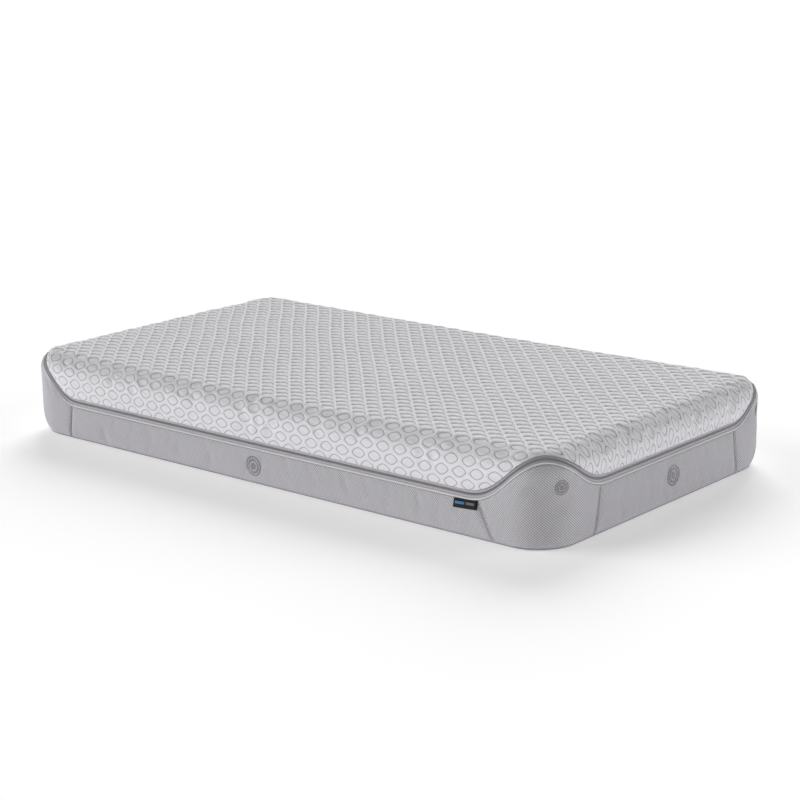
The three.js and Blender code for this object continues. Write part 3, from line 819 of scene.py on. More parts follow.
# ---- The border panels ----
SEAM_ROLL = 0.8 * MM  # how far a panel's rim turns in at its seams
SEAM_ROLL_WIDTH = 3.2 * MM
PUCKER = 0.45 * MM
PUCKER_PITCH = 8 * MM
PUCKER_REACH = 13 * MM
EDGE_ROLL = 0.7 * SEAM_ROLL  # the rim's turn at the foot and the zip
ZIP_PUCKER = 0.4 * PUCKER
ZIP_PUCKER_PITCH = 1.7 * PUCKER_PITCH
COARSE, COARSE_ROWS = 11 * MM, 9  # the simulated sheets' step along a panel, and rows up it
FINE = 4 * MM


def seam_at(corner, which, h):
    """The distance along the perimeter from a corner's middle to its first (1) or second (2) seam."""
    foot, top = CORNERS[corner][which]
    return (foot + (top - foot) * np.minimum(1, h / LEVEL_END)) * MM


class Panel:
    """One panel of the border: u runs from -1 to 1 along it, and w from 0 to 1 up it."""

    def __init__(self, name, middle, start, end):
        self.name, self.middle = name, middle
        self.start, self.end = start, end
        self.length = float(end(0.0) - start(0.0))
        self.offsets = np.zeros((2, 2, 3))

    def half_width(self, h):
        return (self.end(h) - self.start(h)) / 2

    def along(self, u, h):
        return (self.start(h) + self.end(h)) / 2 + u * self.half_width(h)

    def top(self, u):
        """The height where the panel meets the zip line. The seams lean, so it is found in rounds."""
        height = ZIP_PEAK + 0 * u
        for _ in range(6):
            height = zip_line(self.along(u, height)) + BORDER_EDGE
        return height

    def share(self, s, h):
        """Where perimeter s falls across the panel at height h, from -1 to 1."""
        away = np.mod(s - self.middle + PERIMETER / 2, PERIMETER) - PERIMETER / 2
        middle = (self.start(h) + self.end(h)) / 2 - self.middle
        return (away - middle) / self.half_width(h)

    def place_of(self, u, w):
        h = BORDER_FOOT + (self.top(u) - BORDER_FOOT) * w
        return self.along(u, h), h

    def grid(self, step, rows):
        """Even values of u and w, about step apart along the panel."""
        columns = int(round(self.length / step)) + 1
        u, w = np.meshgrid(np.linspace(-1, 1, columns), np.linspace(0, 1, rows))
        return u, w

    def point(self, u, w, depth):
        """A point at a depth below the face, with its rolled rims, puckers and simulated puff."""
        s, h = self.place_of(u, w)
        from_seam = (1 - np.abs(u)) * self.half_width(h)
        height = self.top(u) - BORDER_FOOT
        from_edge = np.minimum(w, 1 - w) * height
        roll = SEAM_ROLL * np.exp(-((from_seam / SEAM_ROLL_WIDTH) ** 2))
        roll = roll + EDGE_ROLL * np.exp(-((from_edge / SEAM_ROLL_WIDTH) ** 2))
        wave = np.sin(2 * math.pi * h / PUCKER_PITCH + 3 * np.sin(self.middle * 7))
        pucker = PUCKER * wave * np.exp(-from_seam / PUCKER_REACH)
        pucker = pucker * np.clip(from_edge / (2 * SEAM_ROLL_WIDTH), 0, 1)
        pull = np.sin(2 * math.pi * s / ZIP_PUCKER_PITCH) * np.exp(-(1 - w) * height / PUCKER_REACH)
        pucker = pucker + ZIP_PUCKER * pull * np.clip(w, 0, 1)
        return place(s, h, depth + roll - pucker) + sample(self.offsets, w, (u + 1) / 2)


def make_panels():
    """The four corner panels and then the four side panels."""
    panels = []
    for corner, middle in CORNER_MIDDLES.items():
        def start(h, corner=corner, middle=middle):
            return middle - seam_at(corner, 1, h) + SEAM_GAP / 2

        def end(h, corner=corner, middle=middle):
            return middle + seam_at(corner, 2, h) - SEAM_GAP / 2

        panels.append(Panel("corner_" + corner, middle, start, end))
    for side, (before, after) in SIDE_NEIGHBOURS.items():
        middle = SIDE_MIDDLES[side]
        reach = QUARTER - FIRST_CORNER if side in ("left", "right") else FIRST_CORNER

        def start(h, corner=before, first=middle - reach):
            return first + seam_at(corner, 2, h) + SEAM_GAP / 2

        def end(h, corner=after, last=middle + reach):
            return last - seam_at(corner, 1, h) - SEAM_GAP / 2

        panels.append(Panel(side, middle, start, end))
    return panels


def build_border(materials):
    """The eight mesh panels, puffed by the cloth simulation, with their double-stitched seams."""
    panels = make_panels()
    coarse = []
    for panel in panels:
        u, w = panel.grid(COARSE, COARSE_ROWS)
        coarse.append(place(*panel.place_of(u, w), 0))
    for panel, offsets in zip(panels, inflate(coarse, BORDER_PRESSURE, BORDER_SLACK, BORDER_CAP)):
        panel.offsets = offsets
    for panel in panels:
        tall = float(np.max(panel.top(np.linspace(-1, 1, 9)))) - BORDER_FOOT
        u, w = panel.grid(FINE, int(round(tall / FINE)) + 1)
        s, h = panel.place_of(u, w)
        outer = panel.point(u, w, 0.0)
        inner = panel.point(u, w, BORDER_THICKNESS)
        turned = -1 if panel.name in ("left", "right") else 1
        piece = shell("border_panel_" + panel.name, outer, inner, np.stack([turned * s, h], -1))
        finish_piece(piece, materials["border"], "mattress", ["border_" + panel.name])
    build_seams(panels, materials)
    return {panel.name: panel for panel in panels}


SEAM_ROWS = (2.0 * MM, 5.2 * MM)  # the two rows, from the seam's line


def build_seams(panels, materials):
    """Two rows of stitches beside each seam, on the corner panel's side of it."""
    frames = []
    for panel in panels[:4]:
        for side in (-1, 1):
            for distance in SEAM_ROWS:
                w = np.linspace(0.02, 0.985, 60)
                frames.append(panel_stitches(panel, side, distance, w))
    sew("seam_stitches", stack_frames(frames), SEAM_STITCH,
        materials["grey_thread"], "mattress")


def panel_stitches(panel, side, distance, w):
    """Frames of a row of stitches up a panel, at a distance in from its side."""
    def at(share):
        _, h = panel.place_of(np.zeros_like(share), share)
        u = side * (1 - distance / panel.half_width(h))
        return panel.point(u, share, -0.15 * MM), u
    points, _ = at(w)
    travelled = np.concatenate([[0], np.cumsum(np.linalg.norm(np.diff(points, axis=0), axis=1))])
    shares = np.interp(np.arange(2 * MM, travelled[-1], 4.0 * MM), travelled, w)
    origin, u = at(shares)
    ahead = panel.point(u, shares + 0.004, -0.15 * MM)
    beside = panel.point(u - 0.004, shares, -0.15 * MM)
    along = unit(ahead - origin)
    out = unit(np.cross(origin - beside, along))
    return origin, along, np.cross(out, along), out


# ---- The knit cover ----
CORE_STEP_X = 3.5 * MM
CORE_STEP_Y = 3.8 * MM
CORNER_STEPS = 26
SHOULDER_ROWS = 17
SKIRT_ROWS = 12
FLAT_ROWS = 9
RELIEF_SIDE = 0.2 * MM  # the quilting's height on the sides
RELIEF_TOP = 2.5 * MM
SHOULDER_START = WALL + 30 * MM  # from here up to the flat top, the quilting gets stronger
EDGE_FADE = 7 * MM  # the relief dies out towards the zip, where the knit is sewn flat
SKIRT_STEP, SKIRT_SHEET_ROWS = 13 * MM, 10  # the simulated skirt's step round, and rows up it
SKIRT_TOP = OVER + 0.3 * (CORE - OVER)


def cover_stations(nx, ny):
    """Stations round the mattress that meet the points of the flat middle's rim."""
    xs = np.linspace(-STRAIGHT_X, STRAIGHT_X, nx + 1)
    ys = np.linspace(-STRAIGHT_Y, STRAIGHT_Y, ny + 1)
    arc = ARC * np.arange(1, CORNER_STEPS) / CORNER_STEPS
    stations, rim = [], []
    starts = [
        (0.0, xs, [(i, 0) for i in range(nx + 1)], STRAIGHT_X),
        (QUARTER, ys, [(nx, j) for j in range(ny + 1)], STRAIGHT_Y),
        (2 * QUARTER, xs, [(nx - i, ny) for i in range(nx + 1)], STRAIGHT_X),
        (3 * QUARTER, ys, [(0, ny - j) for j in range(ny + 1)], STRAIGHT_Y),
    ]
    for middle, along, core, reach in starts:
        stations += list(middle + along) + list(middle + reach + arc)
        rim += core + [core[-1]] * (CORNER_STEPS - 1)
    return xs, ys, np.array(stations), [j * (nx + 1) + i for i, j in rim]


def cover_rows(edge):
    """Heights of the rows from the cover's edge up to the rim of the flat middle."""
    wall = np.maximum(WALL, edge)
    skirt = [edge + (wall - edge) * k / SKIRT_ROWS for k in range(SKIRT_ROWS)]
    shoulder = [wall + (OVER - wall) * k / SHOULDER_ROWS for k in range(SHOULDER_ROWS)]
    flat = [OVER + (CORE - OVER) * k / FLAT_ROWS + 0 * edge for k in range(FLAT_ROWS)]
    return np.array(skirt + shoulder + flat)


def cover_offsets():
    """The puff of the knit between the zip and the shoulder, from the cloth simulation."""
    s = around(SKIRT_STEP)
    s = np.append(s, s[0] + PERIMETER)
    edge = zip_line(s) + COVER_EDGE
    up = np.linspace(0, 1, SKIRT_SHEET_ROWS)[:, None]
    h = edge[None, :] + (SKIRT_TOP - edge[None, :]) * up
    offsets = inflate([place(s[None, :], h, 0)], COVER_PRESSURE, COVER_SLACK, COVER_CAP)[0]

    def offset_at(at_s, at_h):
        low = zip_line(at_s) + COVER_EDGE
        row = np.clip((at_h - low) / (SKIRT_TOP - low), 0, 1)
        found = sample(offsets, row, np.mod(at_s, PERIMETER) / PERIMETER)
        return found * ease(row * 6)[..., None] * ease((1 - row) * 4)[..., None]
    return offset_at


def build_cover(materials):
    """One closed piece: the knit outside with its quilted relief, and the backing inside."""
    nx = int(round(2 * STRAIGHT_X / CORE_STEP_X))
    ny = int(round(2 * STRAIGHT_Y / CORE_STEP_Y))
    xs, ys, stations, rim = cover_stations(nx, ny)
    heights = cover_rows(zip_line(stations) + COVER_EDGE)
    offset_at = cover_offsets()
    s = np.broadcast_to(stations, heights.shape)
    sides = place(s, heights, 0) + offset_at(s, heights)
    side_u, side_v = cloth_point(s, heights)
    core_x, core_y = np.meshgrid(xs, ys)
    core = settle(np.stack([core_x, core_y, np.full_like(core_x, HEIGHT)], -1))
    points = np.concatenate([core.reshape(-1, 3), sides.reshape(-1, 3)])
    uv = np.concatenate([pattern_point(core_x, core_y).reshape(-1, 2),
                         pattern_point(side_u, side_v).reshape(-1, 2)])
    base, count, rows = core_x.size, len(stations), len(heights)
    faces = grid_faces(ny + 1, nx + 1)
    faces += grid_faces(rows, count, base, close_columns=True)
    last = base + (rows - 1) * count
    for i in range(count):
        j = (i + 1) % count
        quad = [last + i, last + j, rim[j], rim[i]]
        faces.append(tuple(dict.fromkeys(quad)))
    lift = cover_relief(heights, uv, base)
    outside = points + mesh_normals(points, faces) * lift[:, None]
    inner_points, inner_faces = cover_inside(stations, heights, offset_at, len(points), base)
    inner_uv = np.concatenate([np.stack(cloth_point(*inner), -1) for inner in inner_points[1]])
    points = np.concatenate([outside, inner_points[0]])
    cover = add_mesh("knit_cover", points, faces + inner_faces, np.concatenate([uv, inner_uv]))
    finish_piece(cover, materials["knit"], "cover", ["top_cover"])
    cover.data.materials.append(materials["lining"])
    slots = np.zeros(len(cover.data.polygons), np.int32)
    slots[len(faces):] = 1
    cover.data.polygons.foreach_set("material_index", slots)


def cover_relief(heights, uv, base):
    """How far the quilting lifts each point: most on the flat middle, and little on the sides."""
    rise = ease((heights - SHOULDER_START) / (OVER - SHOULDER_START))
    rise = RELIEF_SIDE + (RELIEF_TOP - RELIEF_SIDE) * rise
    fade = ease((heights - heights[0]) / EDGE_FADE)
    strength = np.concatenate([np.full(base, RELIEF_TOP), (fade * rise).ravel()])
    return strength * (knit_relief(uv[:, 0] / MM, uv[:, 1] / MM) - 0.5)


def mesh_normals(points, faces):
    """The smooth normal at each point."""
    mesh = bpy.data.meshes.new("normals")
    mesh.from_pydata(points.tolist(), [], faces)
    found = np.zeros(len(points) * 3, np.float32)
    mesh.vertex_normals.foreach_get("vector", found)
    bpy.data.meshes.remove(mesh)
    return found.reshape(-1, 3)


INSIDE_ROWS = 8


def cover_inside(stations, heights, offset_at, start, outside_base):
    """The backing's points and faces, joined to the outside along the cover's edge."""
    edge = heights[0]
    rows = [edge + (OVER - edge) * k / (INSIDE_ROWS - 2) for k in range(INSIDE_ROWS - 1)]
    rows.append(OVER + 20 * MM + 0 * edge)
    points, places = [], []
    for h in rows:
        points.append(place(stations, h, COVER_THICKNESS) + offset_at(stations, h))
        places.append((stations, h))
    count = len(stations)
    faces = grid_faces(INSIDE_ROWS, count, start, flip=True, close_columns=True)
    for i in range(count):
        j = (i + 1) % count
        faces.append((outside_base + j, outside_base + i, start + i, start + j))
    last = start + (INSIDE_ROWS - 1) * count
    faces.append(tuple(last + i for i in reversed(range(count))))
    return (np.concatenate(points), places), faces


# ---- Zip ----
STATION = 4 * MM  # between the sections of a band that runs all round
SEWN_STEPS = 1600  # points along a line of stitches all round
TAPE_FACE = 1.3 * MM  # how deep the tapes lie
TAPE_STITCH_PITCH, FOOT_STITCH_PITCH, CARE_STITCH_PITCH = 3.2 * MM, 3.6 * MM, 3.4 * MM
TOOTH_PITCH = 2.1 * MM
COIL_INSET = 0.3 * MM  # from the chain's edge to its teeth's middles
COIL_LEAN = 0.42


def zip_surface(depth):
    """The surface whose heights are measured from the middle of the piping."""
    def surface(s, h):
        return place(s, zip_line(s) + h, depth)
    return surface


def tape_section(low, high, depth):
    """A tape's section: flat, with its outer rim rolled and a low bead where it is sewn."""
    middle = (low + high) / 2

    def section(s):
        z = zip_line(s)
        outer = [(low, 1.0), (low + 0.4 * MM, 0.1), (middle - 0.6 * MM, 0.0), (middle, 0.35)]
        outer += [(middle + 0.6 * MM, 0.0), (high - 0.4 * MM, 0.1), (high, 1.0)]
        rows = [(z + h, depth + drop * 0.4 * MM) for h, drop in outer]
        return rows + [(z + high, depth + MM), (z + low, depth + MM)]
    return section


def build_zip(materials):
    """Both tapes with their rows of stitches, the coils and the stops."""
    turn = np.linspace(0, PERIMETER, SEWN_STEPS)
    tapes = [
        ("zip_tape_of_cover", UPPER_TAPE, "cover", "zip_tape_upper"),
        ("zip_tape_of_border", LOWER_TAPE, "mattress", "zip_tape_lower"),
    ]
    for name, (low, high), body, node in tapes:
        band = ring_band(name, around(STATION), tape_section(low, high, TAPE_FACE))
        finish_piece(band, materials["tape"], body, [node])
        surface = zip_surface(TAPE_FACE - 0.1 * MM)
        rows = [line_of_stitches(surface, turn, np.full_like(turn, h), TAPE_STITCH_PITCH)
                for h in (low + 1.2 * MM, high - 1.1 * MM)]
        sew(name + "_stitches", stack_frames(rows), TAPE_STITCH,
            materials["tape_thread"], body)
    build_coils(materials["chain"])
    build_stops(materials)


def build_coils(material):
    """The coil's teeth along each tape, with a gap between the zip's ends, and its two cores."""
    halves = [
        ("coil_of_cover", UPPER_CHAIN[0] + COIL_INSET, "cover", "zip_chain_upper", 0.0, COIL_LEAN),
        ("coil_of_border", LOWER_CHAIN[1] - COIL_INSET, "mattress", "zip_chain_lower", 0.5, -COIL_LEAN),
    ]
    gap_middle = 2 * QUARTER - ZIP_END_X
    count = int(PERIMETER / TOOTH_PITCH)
    for name, height, body, node, shift, lean in halves:
        s = (np.arange(count) + shift) * PERIMETER / count
        s = s[np.abs(s - gap_middle) > ZIP_END_GAP / 2]
        upright = np.full_like(s, math.pi / 2 + lean)
        frames = frames_along(zip_surface(TAPE_FACE), s, np.full_like(s, height), upright)
        sew(name, frames, COIL_TOOTH, material, body, [node])
    cores = [
        ("coil_core_of_cover", UPPER_CHAIN[1], "cover"),
        ("coil_core_of_border", LOWER_CHAIN[0], "mattress"),
    ]
    for name, height, body in cores:
        core = round_band(name, around(STATION), height, TAPE_FACE + 0.6 * MM, 0.4 * MM, 6)
        finish_piece(core, material, body)


def round_band(name, stations, height, depth, radius, sides):
    """A cord all round, its middle at a height above the piping's line."""
    def section(s):
        turns = [2 * math.pi * k / sides for k in range(sides)]
        return [(zip_line(s) + height - radius * math.cos(a), depth - radius * math.sin(a))
                for a in turns]
    return ring_band(name, stations, section)


def build_piping(materials):
    """The white piping: a satin cord in a folded strip, with the strip's stitched lip above."""
    cord = round_band("piping_cord", around(2.6 * MM), 0.0, 0.5 * MM, PIPING_RADIUS, 12)
    finish_piece(cord, materials["piping"], "mattress", ["piping"])

    def lip(s):
        low, high = zip_line(s) - 1.9 * MM, zip_line(s) + 1.4 * MM
        outer, inner = 2.1 * MM, 2.7 * MM
        return [(low, outer), (high, outer), (high, inner), (low, inner)]
    strip = ring_band("piping_lip", around(STATION), lip)
    finish_piece(strip, materials["piping"], "mattress")


def build_stops(materials):
    """Crimped metal stops at the zip's two ends."""
    for end in ("start", "end"):
        node = "zip_stop_" + end
        piece = rounded_box("stop_" + end, *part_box(node), 0.35 * MM)
        finish_piece(piece, materials["metal"], "mattress", [node])


def rounded_box(name, low, high, radius):
    """A box with rounded edges, from a grid of points on each of its six sides."""
    low, high = np.array(low), np.array(high)
    share = np.linspace(0, 1, 7)
    grid = np.stack(np.meshgrid(share, share, share, indexing="ij"), -1)
    points = low + grid * (high - low)
    core = np.clip(points, low + radius, high - radius)
    away = points - core
    points = core + unit(away) * np.minimum(np.linalg.norm(away, axis=-1, keepdims=True), radius)
    index = np.arange(7 ** 3).reshape(7, 7, 7)
    faces = []
    for axis in range(3):
        for end, flip in ((0, True), (6, False)):
            side = np.take(index, end, axis=axis)
            side = side if axis != 1 else side.T
            for i in range(6):
                for j in range(6):
                    quad = (side[i, j], side[i + 1, j], side[i + 1, j + 1], side[i, j + 1])
                    faces.append(tuple(int(v) for v in (quad[::-1] if flip else quad)))
    used = sorted({v for face in faces for v in face})
    renumber = {v: k for k, v in enumerate(used)}
    kept = points.reshape(-1, 3)[used]
    faces = [tuple(renumber[v] for v in face) for face in faces]
    return add_mesh(name, kept, faces, kept[:, [0, 2]])


def curve_mesh(name, rings, thickness, bevel):
    """The points and faces of a filled outline, with any holes, made thick with rounded edges."""
    curve = bpy.data.curves.new(name, "CURVE")
    curve.dimensions = "2D"
    curve.fill_mode = "BOTH"
    for ring in rings:
        spline = curve.splines.new("POLY")
        spline.points.add(len(ring) - 1)
        for point, (x, z) in zip(spline.points, ring):
            point.co = (x, z, 0, 1)
        spline.use_cyclic_u = True
    curve.extrude = thickness / 2 - bevel
    curve.bevel_depth = bevel
    curve.bevel_resolution = 2
    curve.offset = -bevel
    holder = bpy.data.objects.new(name + "_curve", curve)
    bpy.context.scene.collection.objects.link(holder)
    evaluated = holder.evaluated_get(bpy.context.evaluated_depsgraph_get())
    mesh = bpy.data.meshes.new_from_object(evaluated)
    flat = np.zeros(len(mesh.vertices) * 3, np.float32)
    mesh.vertices.foreach_get("co", flat)
    faces = [tuple(p.vertices) for p in mesh.polygons]
    bpy.data.objects.remove(holder)
    bpy.data.meshes.remove(mesh)
    return flat.reshape(-1, 3), faces


def plate(name, outline_points, y_outer, y_inner, bevel, holes=()):
    """A flat plate in the plane of X and Z, with rounded edges, from y_outer in to y_inner."""
    flat, faces = curve_mesh(name, [outline_points, *holes], abs(y_outer - y_inner), bevel)
    points = np.stack([flat[:, 0], (y_outer + y_inner) / 2 - flat[:, 2], flat[:, 1]], -1)
    made = add_mesh(name, points, faces, points[:, [0, 2]], smooth=False)
    weld(made)
    return made


def weld(obj):
    """Joins points that meet, and turns every face outwards."""
    bm = bmesh.new()
    bm.from_mesh(obj.data)
    bmesh.ops.remove_doubles(bm, verts=bm.verts, dist=1e-6)
    bmesh.ops.recalc_face_normals(bm, faces=bm.faces)
    bm.to_mesh(obj.data)
    bm.free()


def arc(x, z, radius, count, start, turn):
    """Points along an arc, from the angle start on through turn."""
    angles = [start + turn * k / (count - 1) for k in range(count)]
    return [(x + radius * math.cos(a), z + radius * math.sin(a)) for a in angles]


def circle(x, z, radius, count):
    """Points round a circle."""
    return arc(x, z, radius, count + 1, 0.0, 2 * math.pi)[:-1]


# ---- Slider and pull ----
ZIP_Z = LEVEL_LONG + ZIP_MIDDLE
SLIDER_FACE = HALF_Y + 0.4 * MM
SHIELD_HALF, SHIELD_TALL = 6 * MM, 3.1 * MM
PULL_LENGTH, PULL_RADIUS = 24 * MM, 2.7 * MM
PULL_LOW = ZIP_Z - PULL_LENGTH + 2 * PULL_RADIUS  # the middle of the pull's round end


def shield_outline():
    """The slider's plates seen from outside: a round nose, and a wide heel with round corners."""
    nose, heel = 1.6 * MM, 1.2 * MM
    waist_x, waist_z = SLIDER_X - 1 * MM, 2.6 * MM
    heel_x, heel_z = SLIDER_X + SHIELD_HALF - heel, SHIELD_TALL - heel
    ring = arc(SLIDER_X - SHIELD_HALF + nose, ZIP_Z, nose, 9, math.pi / 2, math.pi)
    ring.append((waist_x, ZIP_Z - waist_z))
    ring += arc(heel_x, ZIP_Z - heel_z, heel, 6, -math.pi / 2, math.pi / 2)
    ring += arc(heel_x, ZIP_Z + heel_z, heel, 6, 0, math.pi / 2)
    ring.append((waist_x, ZIP_Z + waist_z))
    return ring


def pull_outline():
    """The pull's tab: round at both ends and narrower below the eye."""
    narrow = PULL_RADIUS * 0.72
    neck_high, neck_low = ZIP_Z - 6 * MM, ZIP_Z - 9 * MM
    ring = arc(SLIDER_X, ZIP_Z, PULL_RADIUS, 17, 0, math.pi)
    ring += [(SLIDER_X - narrow, neck_high), (SLIDER_X - narrow, neck_low)]
    ring += arc(SLIDER_X, PULL_LOW, PULL_RADIUS, 17, math.pi, math.pi)
    ring += [(SLIDER_X + narrow, neck_low), (SLIDER_X + narrow, neck_high)]
    return ring


def build_slider(materials):
    """The slider's shield-shaped plates and its post, and the pull that hangs from it."""
    shield = shield_outline()
    bar_low, bar_high = (SLIDER_X - 4 * MM, ZIP_Z - 0.2 * MM), (SLIDER_X + 3 * MM, ZIP_Z + 0.2 * MM)
    bar = [bar_low, (bar_high[0], bar_low[1]), bar_high, (bar_low[0], bar_high[1])]
    stub = circle(SLIDER_X, ZIP_Z, 1.0 * MM, 24)
    head = circle(SLIDER_X, ZIP_Z, 1.9 * MM, 28)
    pieces = [
        plate("slider_front", shield, SLIDER_FACE, SLIDER_FACE - 1.5 * MM, 0.3 * MM),
        plate("slider_back", shield, HALF_Y - 3.9 * MM, HALF_Y - 4.7 * MM, 0.2 * MM),
        plate("slider_post", bar, SLIDER_FACE - 1.3 * MM, HALF_Y - 4.1 * MM, 0.05 * MM),
        plate("slider_stub", stub, HALF_Y + 2.6 * MM, SLIDER_FACE - 0.5 * MM, 0.25 * MM),
        plate("slider_stub_head", head, HALF_Y + 3.0 * MM, HALF_Y + 2.45 * MM, 0.2 * MM),
    ]
    for piece in pieces:
        finish_piece(piece, materials["metal"], "slider")
    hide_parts("zip_slider")
    eye = circle(SLIDER_X, ZIP_Z, 1.4 * MM, 24)
    pull = plate("pull_tab", pull_outline(), HALF_Y + 2.3 * MM, HALF_Y + 1.3 * MM, 0.25 * MM, [eye])
    finish_piece(pull, materials["metal"], "pull", ["zip_pull"])
    rim, hole = circle(SLIDER_X, PULL_LOW, 1.7 * MM, 32), circle(SLIDER_X, PULL_LOW, 0.9 * MM, 24)
    grip = plate("pull_grip", rim, HALF_Y + 2.6 * MM, HALF_Y + 2.2 * MM, 0.15 * MM, [hole])
    finish_piece(grip, materials["metal"], "pull")


# ---- Foot and bottom ----
BINDING_OUTER = [(0.9, 2.6), (1.0, 1.2), (1.8, 0.7), (3.0, 0.7), (3.8, 1.2), (3.95, 2.6)]  # mm
BINDING_INNER = [(3.95, 7.5), (0.9, 7.5)]
BOTTOM_FACE = 0.9 * MM
BOTTOM_RINGS = (BOTTOM_INSET, BOTTOM_INSET + 6 * MM, 30 * MM, 60 * MM)
BOTTOM_ROLL = 12 * MM  # the width of the soft roll inside the bottom's rim
GRIP_PITCH_X, GRIP_PITCH_Y = 22 * MM, 19.8 * MM
GRIP_MARGIN = 40 * MM


def build_foot(materials):
    """The binding along the foot with its stitches, and the bottom panel with grip dots."""
    def section(s):
        return [(h * MM + 0 * s, t * MM + 0 * s) for h, t in BINDING_OUTER + BINDING_INNER]
    binding = ring_band("foot_binding_tape", around(STATION), section)
    finish_piece(binding, materials["binding"], "mattress", ["foot_binding"])
    turn = np.linspace(0, PERIMETER, SEWN_STEPS)
    line = np.full_like(turn, 2.4 * MM)
    frames = line_of_stitches(lambda s, h: place(s, h, 0.62 * MM), turn, line, FOOT_STITCH_PITCH)
    sew("foot_stitches", frames, FOOT_STITCH,
        materials["grey_thread"], "mattress")
    build_bottom(materials)
    build_grips(materials)


def build_bottom(materials):
    """The bottom cloth: a closed sheet with a soft roll just inside its rim."""
    stations = around(12 * MM)
    x, y, nx, ny = outline(stations)
    draw = tuck(stations, 0 * stations)
    levels = [(BOTTOM_FACE, inset) for inset in BOTTOM_RINGS[::-1]]
    levels += [(BOTTOM_TOP, inset) for inset in BOTTOM_RINGS]
    rings = []
    for z, inset in levels:
        if z == BOTTOM_FACE:
            z = z - 0.5 * MM * math.sin(math.pi * min(1.0, (inset - BOTTOM_INSET) / BOTTOM_ROLL))
        away = inset + draw
        rings.append(np.stack([x - nx * away, y - ny * away, np.full_like(x, z)], -1))
    grid = np.array(rings)
    rows, columns = grid.shape[:2]
    faces = grid_faces(rows, columns, close_columns=True) + end_caps(rows, columns)
    panel = add_mesh("bottom_cloth", grid, faces, grid[..., :2], smooth=False)
    finish_piece(panel, materials["bottom"], "mattress", ["bottom_panel"])


def build_grips(materials):
    """Staggered rubber dots under the bottom cloth."""
    dots = []
    for i in range(-28, 29):
        for j in range(-15, 16):
            x, y = (i + 0.5 * (j % 2)) * GRIP_PITCH_X, j * GRIP_PITCH_Y
            if abs(x) < HALF_X - GRIP_MARGIN and abs(y) < HALF_Y - GRIP_MARGIN:
                dots.append((x, y, 0.75 * MM))
    axes = [np.tile(axis, (len(dots), 1)) for axis in ((1, 0, 0), (0, -1, 0), (0, 0, -1))]
    template, faces = dome(2.4 * MM, 0.65 * MM)
    grips = joined_islands("grip_dots", template, faces, [np.array(dots), *axes])
    finish_piece(grips, materials["rubber"], "mattress")


def dome(radius, height):
    """A low round dot with a flat back."""
    points, faces, sides = [(0, 0, height)], [], 10
    for level, wide in ((0.8, 0.5), (0.35, 0.88), (-0.2, 1.0)):
        for k in range(sides):
            a = 2 * math.pi * k / sides
            points.append((radius * wide * math.cos(a), radius * wide * math.sin(a), height * level))
    for k in range(sides):
        j = (k + 1) % sides
        faces.append((0, 1 + k, 1 + j))
        for ring in range(2):
            a = 1 + ring * sides
            faces.append((a + k, a + sides + k, a + sides + j, a + j))
    faces.append(tuple(1 + 2 * sides + k for k in reversed(range(sides))))
    return np.array(points), faces


# ---- Marks ----
MARK_RINGS = ((0.9, 0.085), (0.6, 0.12), (0.2, 0.16))  # middle and half width, over the radius
SATIN_ACROSS = np.array([-1, -0.92, -0.6, 0, 0.6, 0.92, 1.0])  # a stitched ring's section
SATIN_RISE = np.array([-0.7, 0.25, 0.75, 1.0, 0.75, 0.25, -0.7])
SATIN_HEIGHT = 0.75 * MM
SATIN_STITCH = 0.45 * MM
CORNER_MARK = (29 * MM, 109 * MM, 13.5 * MM)  # shift towards the end, height and radius
END_MARK = (16 * MM, 53 * MM, 20 * MM)
LONG_SIDE_MARK = (-15 * MM, 36 * MM, 20 * MM)


def on_panel(panel, s, h, depth):
    """The point of a border panel's puffed face at perimeter s and height h."""
    u = panel.share(s, h)
    w = (h - BORDER_FOOT) / (panel.top(u) - BORDER_FOOT)
    return panel.point(u, w, depth)


def satin_ring(panel, s, h, middle, half):
    """The points and flat coordinates of one ring of close stitches, round (s, h) on a panel."""
    steps = max(40, int(2 * math.pi * middle / SATIN_STITCH))
    angle = np.arange(steps) * 2 * math.pi / steps
    stitch = 1 + 0.22 * np.cos(math.pi * np.arange(steps))
    r = middle + half * SATIN_ACROSS[:, None] * (1 + 0.04 * np.sin(steps * angle / 3))
    up = SATIN_HEIGHT * SATIN_RISE[:, None] * stitch[None, :]
    at_s, at_h = s + r * np.cos(angle), h + r * np.sin(angle)
    skin = on_panel(panel, at_s, at_h, -0.2 * MM)
    beside = on_panel(panel, at_s + 0.5 * MM, at_h, -0.2 * MM)
    above = on_panel(panel, at_s, at_h + 0.5 * MM, -0.2 * MM)
    out = unit(np.cross(beside - skin, above - skin))
    return skin + out * up[..., None], np.stack([np.broadcast_to(angle * middle, r.shape), r], -1)


def build_mark(name, panel, s, h, radius, material):
    """A plain embroidered mark: satin-stitched rings round a dot, lying on the mesh."""
    points, faces, uvs, base = [], [], [], 0
    for middle, half in MARK_RINGS:
        grid, uv = satin_ring(panel, s, h, middle * radius, half * radius)
        rows, steps = grid.shape[:2]
        faces += grid_faces(rows, steps, base, flip=True, close_rows=True, close_columns=True)
        points.append(grid.reshape(-1, 3))
        uvs.append(uv.reshape(-1, 2))
        base += rows * steps
    mark = add_mesh("mark_" + name, np.concatenate(points), faces, np.concatenate(uvs))
    finish_piece(mark, material, "mattress", ["emblem_" + name])


def build_marks(panels, materials):
    """One mark on every panel of the border."""
    for corner, middle in CORNER_MIDDLES.items():
        shift, height, radius = CORNER_MARK
        at = middle + (shift if corner in ("front_right", "back_left") else -shift)
        name = "corner_" + corner
        build_mark(name, panels[name], at, height, radius, materials["emblem"])
    for side, middle in SIDE_MIDDLES.items():
        shift, height, radius = END_MARK if side in ("right", "left") else LONG_SIDE_MARK
        build_mark(side, panels[side], middle + shift, height, radius, materials["emblem"])


